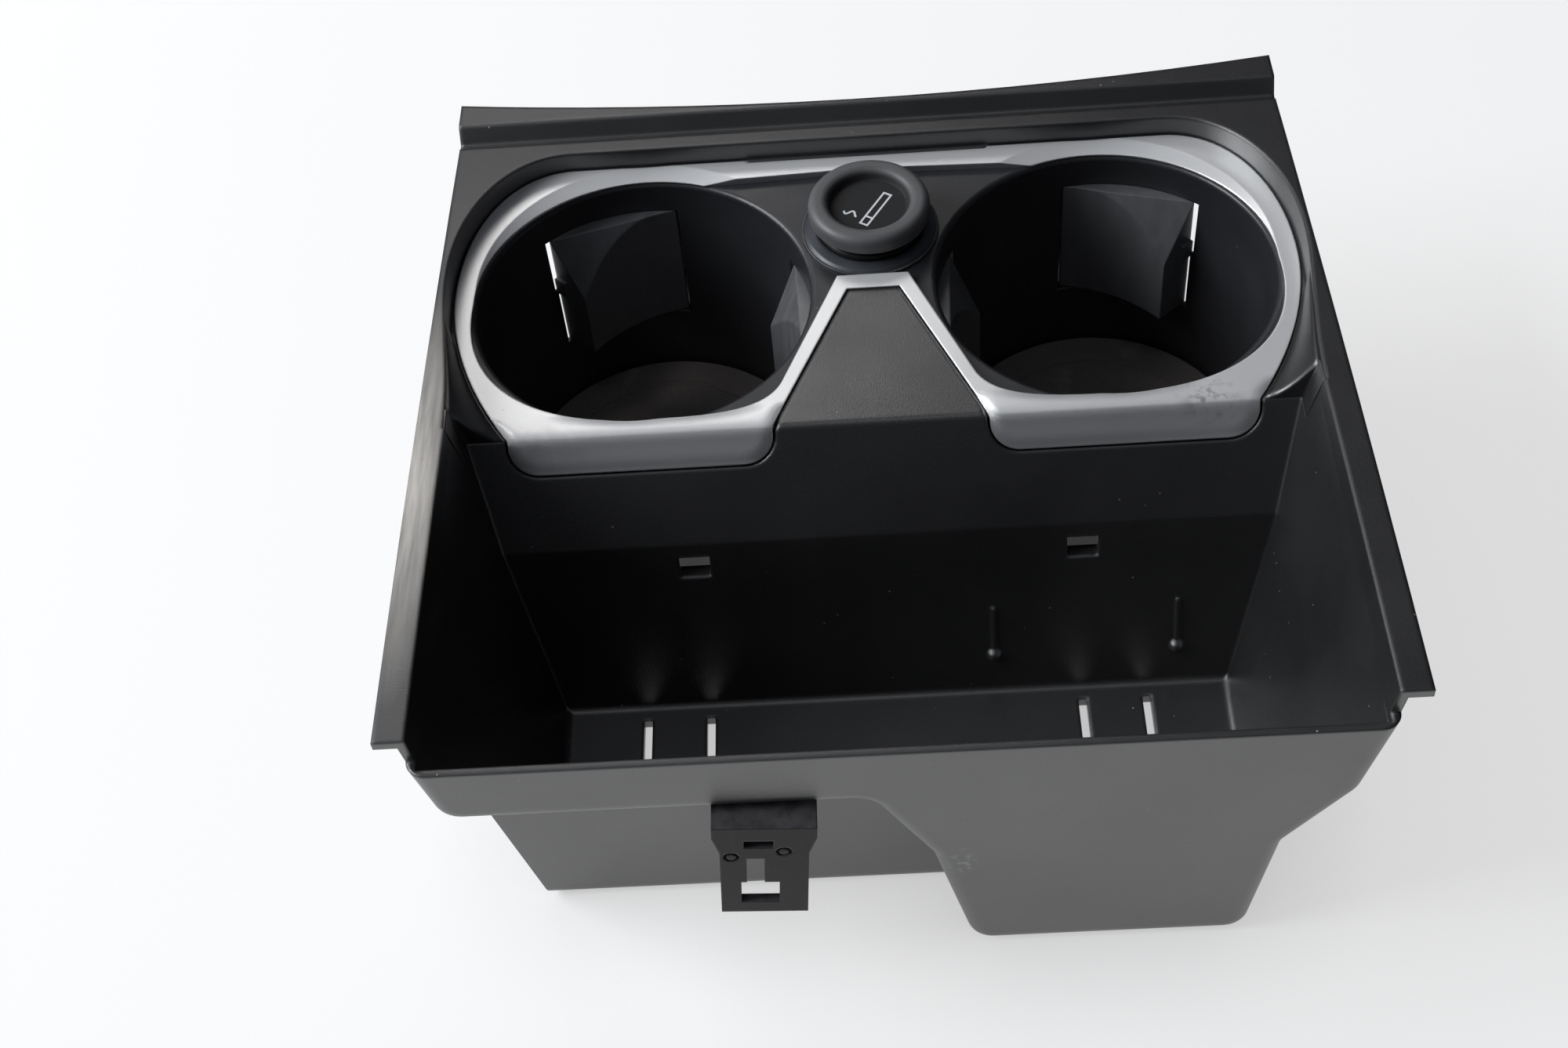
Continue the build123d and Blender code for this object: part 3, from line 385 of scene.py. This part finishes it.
    def bump(self, *layers, normal=None):
        """Rounded edges and relief of the surface, from pairs of a mask and the height that it raises."""
        normal = normal or self.rounded(EDGE_ROUND)
        for mask, height in layers:
            inputs = {"Height": mask, "Distance": height * MM, "Normal": normal}
            normal = self.add("ShaderNodeBump", inputs).outputs["Normal"]
        self.drive("Normal", normal)


def housing_plastic():
    """Black moulded plastic: a fine grain, faint clouds, dust on what faces up, a scuff, a darker patch above
    the clip, and a painted sheen on the left flange: pale colour for light reflected on its top.
    """
    finish = Finish("housing_plastic", Specular_IOR_Level=1.0, IOR=1.68)
    grain = finish.noise(size=0.45, detail=3.0)
    cloud = finish.noise(size=28, detail=4.0)
    streaks = finish.noise(size=1.2, detail=3.0, stretch=(1, 16, 1))
    flakes = finish.noise(size=1.6, detail=4.0)
    dust = finish.times(finish.specks(spacing=3.2, share=0.16, size=0.085), finish.facing_up(-0.3, 0.6))
    # painted sheen: pale streaks on the left flange's top that stand in for reflected light
    painted_sheen_streaks = finish.times(finish.facing_up(0.5, 0.9), finish.remap(streaks, 0.25, 0.75, 0.4, 1.0))
    painted_sheen = finish.times(finish.spot(FLANGE_PAINTED_SHEEN), painted_sheen_streaks)
    # darker patch on the band above the clip
    dark_patch = finish.times(finish.spot(CLIP_DARK_PATCH), finish.remap(cloud, 0.3, 0.6))
    scuff = finish.times(finish.spot(LOBE_SCUFF), finish.remap(flakes, 0.52, 0.66))
    body = finish.mix(cloud, *HOUSING_TONES)
    body = finish.stain(body, finish.spread(grain, 0.0, 0.4), HOUSING_GRAIN)
    body = finish.stain(body, painted_sheen, PAINTED_SHEEN_COLOUR)
    body = finish.stain(body, dark_patch, DARK_PATCH_COLOUR)
    body = finish.stain(body, scuff, SCUFF_COLOUR)
    finish.drive("Base Color", finish.stain(body, dust, HOUSING_DUST))
    texture = finish.plus(cloud, finish.times(grain, 0.2))
    finish.drive("Roughness", finish.remap(texture, 0.3, 0.9, 0.30, 0.42))
    finish.bump((grain, 0.035), (dust, 0.06), normal=finish.rounded(MOULD_ROUND))
    return finish.material


def clip_plastic():
    """Smoother black plastic of the front clip, scratched along its height, and paler in clouds on what faces
    up.
    """
    finish = Finish("clip_plastic", Specular_IOR_Level=0.15)
    cloud = finish.noise(size=6, detail=4.0)
    grain = finish.noise(size=0.5)
    scratch = finish.remap(finish.noise(size=0.8, detail=3.0, stretch=(1, 1, 14)), 0.62, 0.70)
    # paler in clouds on what faces up
    paler_top = finish.times(finish.facing_up(), finish.remap(cloud, 0.25, 0.65))
    body = finish.stain(finish.mix(cloud, *CLIP_TONES), paler_top, CLIP_PALER_TOP)
    finish.drive("Base Color", finish.stain(body, scratch, CLIP_SCRATCH, strength=0.5))
    finish.rough(cloud, 0.20, 0.34)
    finish.bump((grain, 0.015))
    return finish.material


def trim_silver():
    """Satin silver coat, more metallic on steep sides, with a fine sparkle, hairlines and rubbed marks."""
    finish = Finish("trim_silver", Specular_IOR_Level=0.6)
    sparkle = finish.noise(size=0.18)
    cloud = finish.noise(size=18, detail=3.0)
    hairline = finish.remap(finish.noise(size=0.5, stretch=(1, 30, 30)), 0.70, 0.76)
    blots = finish.remap(finish.noise(size=2.2, detail=5.0), 0.48, 0.62)
    patches = finish.remap(finish.noise(size=5, detail=4.0), 0.4, 0.7)
    smudge = finish.times(finish.spot(TRIM_SMUDGE), blots)
    rub = finish.times(finish.spot(TRIM_RUB), patches)
    specks = finish.specks(spacing=4, share=0.08, size=0.04)
    coat = finish.mix(cloud, *SILVER_TONES)
    coat = finish.stain(coat, rub, SILVER_RUBBED, strength=0.6)
    coat = finish.stain(coat, smudge, SILVER_SMUDGE, strength=0.85)
    coat = finish.stain(coat, hairline, SILVER_HAIRLINE, strength=0.35)
    finish.drive("Base Color", finish.stain(coat, specks, SILVER_SPECK))
    finish.drive("Metallic", finish.remap(finish.facing_up(0.3, 0.9), 0.0, 1.0, 0.95, 0.45))
    satin = finish.remap(sparkle, 0.2, 0.8, 0.27, 0.35)
    finish.drive("Roughness", finish.plus(satin, finish.times(smudge, 0.25)))
    fold = finish.remap(finish.spot(LIP_FOLD), 0.0, 0.4)
    edges = finish.softer(fold, finish.rounded(EDGE_ROUND), finish.rounded(FOLD_ROUND))
    finish.bump((sparkle, 0.004), normal=edges)
    return finish.material


def insert_plastic():
    """Satin blue-black plastic of the cups and the deck round the lighter, with a little dust."""
    finish = Finish("insert_plastic", Specular_IOR_Level=0.6)
    grain = finish.noise(size=0.5, detail=3.0)
    cloud = finish.noise(size=20, detail=4.0)
    dust = finish.specks(spacing=3.4, share=0.12, size=0.06)
    finish.drive("Base Color", finish.stain(finish.mix(cloud, *INSERT_TONES), dust, INSERT_DUST))
    finish.rough(cloud, 0.34, 0.46)
    finish.bump((grain, 0.02))
    return finish.material


def flap_plastic():
    """Smooth satin plastic of the flaps, streaked along their height where cups rub."""
    finish = Finish("flap_plastic", Specular_IOR_Level=0.9)
    grain = finish.noise(size=0.45)
    rub = finish.noise(size=3, detail=4.0, stretch=(1, 1, 5))
    finish.drive("Base Color", finish.mix(rub, *FLAP_TONES))
    finish.rough(rub, 0.28, 0.42)
    finish.bump((grain, 0.012))
    return finish.material


def mat_rubber():
    """Dull brown-black rubber with patches and specks of dust."""
    finish = Finish("mat_rubber", Specular_IOR_Level=0.3)
    grain = finish.noise(size=0.6, detail=4.0)
    cloud = finish.noise(size=12, detail=4.0)
    specks = finish.specks(spacing=2.4, share=0.2, size=0.09)
    dust = finish.plus(specks, finish.remap(cloud, 0.58, 0.8, 0.0, 0.35))
    finish.drive("Base Color", finish.stain(finish.mix(grain, *MAT_TONES), dust, MAT_DUST))
    finish.rough(cloud, 0.72, 0.9)
    finish.bump((grain, 0.05))
    return finish.material


def knob_plastic():
    """Soft-touch dark grey of the lighter's knob, black and duller on its sunk face."""
    finish = Finish("knob_plastic", Specular_IOR_Level=0.5)
    grain = finish.noise(size=0.35, detail=3.0)
    cloud = finish.noise(size=7, detail=4.0)
    face = finish.remap(finish.spot(KNOB_FACE), 0.0, 0.1)
    dust = finish.specks(spacing=2.6, share=0.08, size=0.06)
    body = finish.stain(finish.mix(cloud, *KNOB_TONES), face, KNOB_SUNK)
    finish.drive("Base Color", finish.stain(body, dust, KNOB_DUST))
    finish.drive("Roughness", finish.plus(finish.spread(cloud, 0.42, 0.54), finish.times(face, 0.25)))
    finish.bump((grain, 0.02))
    return finish.material


def bezel_plastic():
    """Blue-grey plastic of the lighter's bezel and its socket's base."""
    finish = Finish("bezel_plastic", Specular_IOR_Level=0.5)
    grain = finish.noise(size=0.4, detail=3.0)
    cloud = finish.noise(size=5, detail=4.0)
    finish.drive("Base Color", finish.mix(cloud, *BEZEL_TONES))
    finish.rough(cloud, 0.30, 0.42)
    finish.bump((grain, 0.015))
    return finish.material


def knurl_pale():
    """Plastic of the knurled edge, paler in patches."""
    finish = Finish("knurl_pale", Specular_IOR_Level=0.5)
    patches = finish.remap(finish.noise(size=4, detail=3.0), 0.35, 0.65)
    finish.drive("Base Color", finish.mix(patches, *KNURL_TONES))
    finish.drive("Roughness", finish.remap(patches, 0.0, 1.0, 0.4, 0.6))
    return finish.material


def sign_white():
    """White print of the pictogram, slightly uneven."""
    finish = Finish("sign_white", Specular_IOR_Level=0.4)
    cloud = finish.noise(size=0.7, detail=4.0)
    finish.drive("Base Color", finish.mix(cloud, *PRINT_TONES))
    finish.rough(cloud, 0.45, 0.6)
    return finish.material


def drawn_metal(name, tones, rough):
    """Turned or drawn metal with lines round its upright axis and a cloudy shine."""
    finish = Finish(name, Metallic=1.0)
    lines = finish.noise(size=DRAWN_LINE, stretch=DRAWN_STRETCH)
    cloud = finish.noise(size=DRAWN_CLOUD, detail=3.0)
    finish.drive("Base Color", finish.mix(cloud, *tones))
    finish.rough(lines, *rough)
    finish.bump((lines, DRAWN_HEIGHT))
    return finish.material


def sleeve_steel():
    """Drawn steel of the lighter's sleeve, black on the neck that shows under the knob."""
    finish = Finish("sleeve_steel")
    lines = finish.noise(size=DRAWN_LINE, stretch=DRAWN_STRETCH)
    cloud = finish.noise(size=DRAWN_CLOUD, detail=3.0)
    neck = finish.above(NECK_FOOT, NECK_BLEND)
    steel = finish.mix(cloud, *SOCKET_TONES)
    black = finish.mix(cloud, *NECK_TONES)
    finish.drive("Base Color", finish.mix(neck, steel, black))
    finish.drive("Metallic", finish.remap(neck, 0.0, 1.0, 1.0, 0.0))
    finish.rough(lines, *SOCKET_ROUGH)
    finish.bump((lines, DRAWN_HEIGHT))
    return finish.material


def make_floor():
    """Pale table top, a little whiter where it is seen than where it lights the object, with a painted
    contact shadow that dims its glow near the object.
    """
    finish = Finish("table_top", Roughness=0.7, Specular_IOR_Level=0.2, Emission_Color=(1, 1, 1, 1))
    finish.drive("Base Color", finish.mix(finish.noise(size=FLOOR_CLOUD / MM), *FLOOR_TONES))
    path = finish.add("ShaderNodeLightPath").outputs
    seen = finish.plus(path["Is Camera Ray"], finish.plus(path["Is Glossy Ray"], path["Is Transmission Ray"]))
    # painted contact shadow: the glow is dimmed where the object is near
    shade = finish.add("ShaderNodeAmbientOcclusion", {"Distance": SHADE_REACH}, samples=SHADE_SAMPLES)
    glow = finish.remap(shade.outputs["AO"], 0.0, 1.0, SHADE_GLOW, 1.0)
    finish.drive("Emission Strength", finish.times(seen, glow, FLOOR_GLOW))
    mesh = bpy.data.meshes.new("table")
    half = FLOOR_SIZE / 2
    corners = [(-half, -half, 0), (half, -half, 0), (half, half, 0), (-half, half, 0)]
    mesh.from_pydata(corners, [], [(0, 1, 2, 3)])
    mesh.materials.append(finish.material)
    floor = bpy.data.objects.new("table", mesh)
    bpy.context.collection.objects.link(floor)


def new_piece(name, bm, finish):
    """Object made from a mesh in the making, with its finish."""
    mesh = bpy.data.meshes.new(name)
    bm.to_mesh(mesh)
    bm.free()
    mesh.materials.clear()
    mesh.materials.append(finish)
    piece = bpy.data.objects.new(name, mesh)
    bpy.context.collection.objects.link(piece)
    return piece


def add_piece(name, bm, finish, body):
    """Piece that rides on a body of the frame."""
    piece = new_piece(name, bm, finish)
    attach(piece, body)
    return piece


def ribbon(bm, points, width, closed):
    """Flat band of a given width along points in the plane, mitred at its corners."""
    sides = []
    count = len(points)
    for index, point in enumerate(points):
        before = points[index - 1] if closed or index else None
        after = points[(index + 1) % count] if closed or index + 1 < count else None
        back = (point - before).normalized() if before else (after - point).normalized()
        ahead = (after - point).normalized() if after else back
        along = (back + ahead).normalized()
        out = Vector((-along.y, along.x, 0))
        reach = width / 2 / max(out.dot(Vector((-back.y, back.x, 0))), MITRE_LIMIT)
        sides.append((bm.verts.new(point + out * reach), bm.verts.new(point - out * reach)))
    pairs = zip(sides, sides[1:] + sides[:1]) if closed else zip(sides, sides[1:])
    return [bm.faces.new((a[1], b[1], b[0], a[0])) for a, b in pairs]


def stick_lines():
    """Outline of the pictogram's cigarette, and the line across it that marks its ember."""
    turn = Matrix.Rotation(radians(STICK_TURN), 3, "Z")
    centre = Vector((*STICK_MIDDLE, 0))
    half_length = (STICK_LENGTH - SIGN_STROKE) / 2
    half_width = (STICK_WIDTH - SIGN_STROKE) / 2
    corners = ((1, 1), (-1, 1), (-1, -1), (1, -1))
    outline = [centre + turn @ Vector((x * half_length, y * half_width, 0)) for x, y in corners]
    inner = half_width - SIGN_STROKE / 2
    ember = [centre + turn @ Vector((EMBER_LENGTH - half_length, y * inner, 0)) for y in (1, -1)]
    return outline, ember


def smoke_line():
    """Wavy line of the pictogram's smoke."""
    start, end = Vector((*SMOKE_START, 0)), Vector((*SMOKE_END, 0))
    across = Vector((start.y - end.y, end.x - start.x, 0)).normalized()
    steps = [step / (SMOKE_POINTS - 1) for step in range(SMOKE_POINTS)]
    swing = [sin(2 * pi * SMOKE_WAVES * step) * SMOKE_SWING for step in steps]
    return [start.lerp(end, step) - across * shift for step, shift in zip(steps, swing)]


def make_sign(finish):
    """Raised print of a cigarette and its smoke on the knob's sunk face."""
    low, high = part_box("lighter_knob")
    middle = (low + high) / 2
    face = Vector((middle.x, middle.y, high.z - KNOB_RECESS * MM))
    outline, ember = stick_lines()
    bm = bmesh.new()
    faces = ribbon(bm, outline, SIGN_STROKE, True)
    faces += ribbon(bm, ember, SIGN_STROKE, False)
    faces += ribbon(bm, smoke_line(), SIGN_STROKE, False)
    raised = bmesh.ops.extrude_face_region(bm, geom=faces)["geom"]
    tops = [item for item in raised if isinstance(item, bmesh.types.BMVert)]
    bmesh.ops.translate(bm, verts=tops, vec=(0, 0, SIGN_HEIGHT))
    bmesh.ops.transform(bm, matrix=Matrix.Translation(face) @ Matrix.Scale(MM, 4), verts=bm.verts)
    bmesh.ops.recalc_face_normals(bm, faces=bm.faces)
    return add_piece("lighter_sign", bm, finish, "lighter_plunger")


def spring_copy(node):
    """Smooth copy of a spring of the frame, in the spring's place, with the spring itself hidden."""
    bm = bmesh.new()
    bm.from_mesh(nodes[node].data)
    bmesh.ops.remove_doubles(bm, verts=bm.verts, dist=SAME_POINT * MM)
    for face in bm.faces:
        face.smooth = True
    piece = new_piece(f"{node}_coil", bm, nodes[node].data.materials[0])
    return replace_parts(piece, node)


def make_springs():
    """Copies of the flap springs, fixed in place, and of the lighter's spring, which rides on its parent
    body.
    """
    for joint in frame["record"]["behaviour"]["joints"]:
        spring = joint["deforming_nodes"][0]
        piece = spring_copy(spring["node"])
        if joint["type"] == "hinge":
            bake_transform(piece)
        else:
            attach(piece, joint["parent"])
            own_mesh(piece)


def arc_block(bm, centre, hinge, way, shape):
    """Block bent round a cup's axis, its angles counted one way from the hinge."""
    (start, end), (inner, outer), (low, high) = shape
    section = ((inner, low), (outer, low), (outer, high), (inner, high))
    rings = []
    for step in range(RIB_STEPS + 1):
        turn = hinge + way * radians(start + (end - start) * step / RIB_STEPS)
        ray = Vector((cos(turn), sin(turn), 0))
        places = [centre + ray * radius * MM + Vector((0, 0, height * MM)) for radius, height in section]
        rings.append([bm.verts.new(place) for place in places])
    for here, there in zip(rings, rings[1:]):
        for corner in range(len(section)):
            bm.faces.new((here[corner - 1], here[corner], there[corner], there[corner - 1]))
    bm.faces.new(rings[0])
    bm.faces.new(rings[-1])


def make_hinge_ribs(finish):
    """Moulded ribs that shade each flap's hinge, and lips that narrow the slit at its free end."""
    bm = bmesh.new()
    for joint in frame["record"]["behaviour"]["joints"]:
        if joint["type"] != "hinge":
            continue
        side, way = ("left", 1) if joint["child"].startswith("left") else ("right", -1)
        low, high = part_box(f"{side}_cup_mat")
        centre = Vector(((low.x + high.x) / 2, (low.y + high.y) / 2, 0))
        reach = Vector(joint["pos_m"]) - centre
        for shape in (HINGE_WEB, HINGE_SHADE, SLIT_LIP):
            arc_block(bm, centre, atan2(reach.y, reach.x), way, shape)
    bmesh.ops.recalc_face_normals(bm, faces=bm.faces)
    return add_piece("hinge_ribs", bm, finish, "holder")


def along_curve(points, share):
    """Point of a cubic curve in plan."""
    rest = 1 - share
    weights = (rest ** 3, 3 * rest ** 2 * share, 3 * rest * share ** 2, share ** 3)
    return sum((weight * Vector(point) for weight, point in zip(weights, points)), Vector((0, 0)))


def cove_rows(side):
    """Rows of points on a cove's slope, from the back to the front and from the trim to the flange."""
    height, middle, slope, bend = FLANGE_ARC
    rows = []
    for row in range(COVE_ROWS + 1):
        share = COVE_START + (1 - COVE_START) * row / COVE_ROWS
        inner, outer = along_curve(TRIM_SIDE, share), along_curve(FLANGE_SIDE, share)
        back = outer.y - middle
        rise = height + slope * back + bend * back ** 2 - COVE_DROP - COVE_LOW
        points = []
        for column in range(COVE_COLUMNS + 1):
            across = column / COVE_COLUMNS
            place = inner.lerp(outer, across)
            points.append(Vector((side * place.x, place.y, COVE_LOW + rise * across ** COVE_CURVE)))
        rows.append(points)
    return rows


def add_cove(bm, side):
    """Closed cove: its smooth slope, its flat underside and the walls between them."""
    rows = cove_rows(side)
    top = [[bm.verts.new(point * MM) for point in row] for row in rows]
    low = [[bm.verts.new(Vector((point.x, point.y, COVE_UNDER)) * MM) for point in row] for row in rows]
    for row in range(COVE_ROWS):
        for column in range(COVE_COLUMNS):
            cells = ((row, column), (row, column + 1), (row + 1, column + 1), (row + 1, column))
            bm.faces.new([top[r][c] for r, c in cells]).smooth = True
            bm.faces.new([low[r][c] for r, c in cells])
    around = [(row, 0) for row in range(COVE_ROWS)]
    around += [(COVE_ROWS, column) for column in range(COVE_COLUMNS)]
    around += [(row, COVE_COLUMNS) for row in range(COVE_ROWS, 0, -1)]
    around += [(0, column) for column in range(COVE_COLUMNS, 0, -1)]
    for (r, c), (next_r, next_c) in zip(around, around[1:] + around[:1]):
        bm.faces.new((top[r][c], top[next_r][next_c], low[next_r][next_c], low[r][c]))


def add_riser(bm, side):
    """Closed prism that carries the bin's side wall up to the flange."""
    ends = [[bm.verts.new(Vector((side * x, y, z)) * MM) for x, z in RISER_SECTION] for y in RISER_ENDS]
    for corner in range(len(RISER_SECTION)):
        bm.faces.new((ends[0][corner - 1], ends[0][corner], ends[1][corner], ends[1][corner - 1]))
    for end in ends:
        bm.faces.new(end)


def make_coves(finish):
    """Smooth slopes between the flange and the trim's front corners, and the walls in front of them."""
    bm = bmesh.new()
    for side in (-1, 1):
        add_cove(bm, side)
        add_riser(bm, side)
    bmesh.ops.recalc_face_normals(bm, faces=bm.faces)
    return add_piece("corner_coves", bm, finish, "holder")


def knurl_tree(finish):
    """Geometry nodes for a ring of small teeth, with a named input for each size."""
    tree = bpy.data.node_groups.new("knurl_ring", "GeometryNodeTree")
    sizes = {"Teeth": "Int", "Radius": "Float", "Tooth": "Float", "Height": "Float", "Middle": "Vector"}
    sockets = {
        name: tree.interface.new_socket(name, in_out="INPUT", socket_type=f"NodeSocket{kind}").identifier
        for name, kind in sizes.items()
    }
    tree.interface.new_socket("Geometry", in_out="OUTPUT", socket_type="NodeSocketGeometry")

    def node(kind, **settings):
        made = tree.nodes.new(kind)
        for setting, value in settings.items():
            setattr(made, setting, value)
        return made

    given = node("NodeGroupInput")
    ring = node("GeometryNodeMeshCircle")
    tooth = node("GeometryNodeMeshCone")
    tooth.inputs["Vertices"].default_value = TOOTH_SIDES
    spread = node("GeometryNodeInstanceOnPoints")
    where = node("GeometryNodeInputPosition")
    outward = node("FunctionNodeAlignRotationToVector", axis="X", pivot_axis="Z")
    moved = node("GeometryNodeTransform")
    real = node("GeometryNodeRealizeInstances")
    painted = node("GeometryNodeSetMaterial")
    painted.inputs["Material"].default_value = finish
    result = node("NodeGroupOutput")
    for start, end in (
        (given.outputs["Teeth"], ring.inputs["Vertices"]),
        (given.outputs["Radius"], ring.inputs["Radius"]),
        (given.outputs["Tooth"], tooth.inputs["Radius Bottom"]),
        (given.outputs["Height"], tooth.inputs["Depth"]),
        (given.outputs["Middle"], moved.inputs["Translation"]),
        (where.outputs["Position"], outward.inputs["Vector"]),
        (ring.outputs["Mesh"], spread.inputs["Points"]),
        (tooth.outputs["Mesh"], spread.inputs["Instance"]),
        (outward.outputs["Rotation"], spread.inputs["Rotation"]),
        (spread.outputs["Instances"], moved.inputs["Geometry"]),
        (moved.outputs["Geometry"], real.inputs["Geometry"]),
        (real.outputs["Geometry"], painted.inputs["Geometry"]),
        (painted.outputs["Geometry"], result.inputs["Geometry"]),
    ):
        tree.links.new(start, end)
    return tree, sockets


def make_knurl(finish):
    """Ring of small teeth on the bezel's outer step."""
    low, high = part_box("socket_bezel")
    middle = (low + high) / 2
    sizes = {
        "Teeth": KNURL_TEETH,
        "Radius": (high.x - low.x) / 2 - KNURL_INSET * MM,
        "Tooth": KNURL_TOOTH * MM,
        "Height": KNURL_HEIGHT * MM,
        "Middle": (middle.x, middle.y, low.z + BEZEL_STEP * MM),
    }
    tree, sockets = knurl_tree(finish)
    maker = bpy.data.objects.new("knurl_maker", bpy.data.meshes.new("knurl_maker"))
    bpy.context.collection.objects.link(maker)
    modifier = maker.modifiers.new("knurl", "NODES")
    modifier.node_group = tree
    for name, value in sizes.items():
        modifier[sockets[name]] = value
    bpy.context.view_layer.update()
    shaped = maker.evaluated_get(bpy.context.evaluated_depsgraph_get())
    mesh = bpy.data.meshes.new_from_object(shaped)
    bpy.data.objects.remove(maker)
    piece = bpy.data.objects.new("bezel_knurl", mesh)
    bpy.context.collection.objects.link(piece)
    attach(piece, "holder")
    return piece


def dress_nodes():
    """Give every solid of the frame its finish."""
    flap = flap_plastic()
    mat = mat_rubber()
    bezel = bezel_plastic()
    bright = drawn_metal("bright_steel", BRIGHT_TONES, BRIGHT_ROUGH)
    finishes = {
        "housing": housing_plastic(),
        "trim_ring": trim_silver(),
        "cup_insert": insert_plastic(),
        "front_clip": clip_plastic(),
        "lighter_knob": knob_plastic(),
        "socket_bezel": bezel,
        "socket_base": bezel,
        "socket_barrel": drawn_metal("socket_steel", SOCKET_TONES, SOCKET_ROUGH),
        "lighter_sleeve": sleeve_steel(),
        "socket_terminals": drawn_metal("contact_brass", BRASS_TONES, BRASS_ROUGH),
    }
    for name, node in nodes.items():
        if name.endswith("_flap"):
            finish = flap
        elif name.endswith("_mat"):
            finish = mat
        else:
            finish = finishes.get(name, bright)
        node.data.materials.clear()
        node.data.materials.append(finish)


bpy.context.scene.view_settings.view_transform = "Standard"
make_camera()
make_dome()
for name, lamp in LAMPS.items():
    make_lamp(name, *lamp)
make_floor()
dress_nodes()
make_sign(sign_white())
make_knurl(knurl_pale())
make_hinge_ribs(nodes["cup_insert"].data.materials[0])
make_coves(nodes["housing"].data.materials[0])
make_springs()
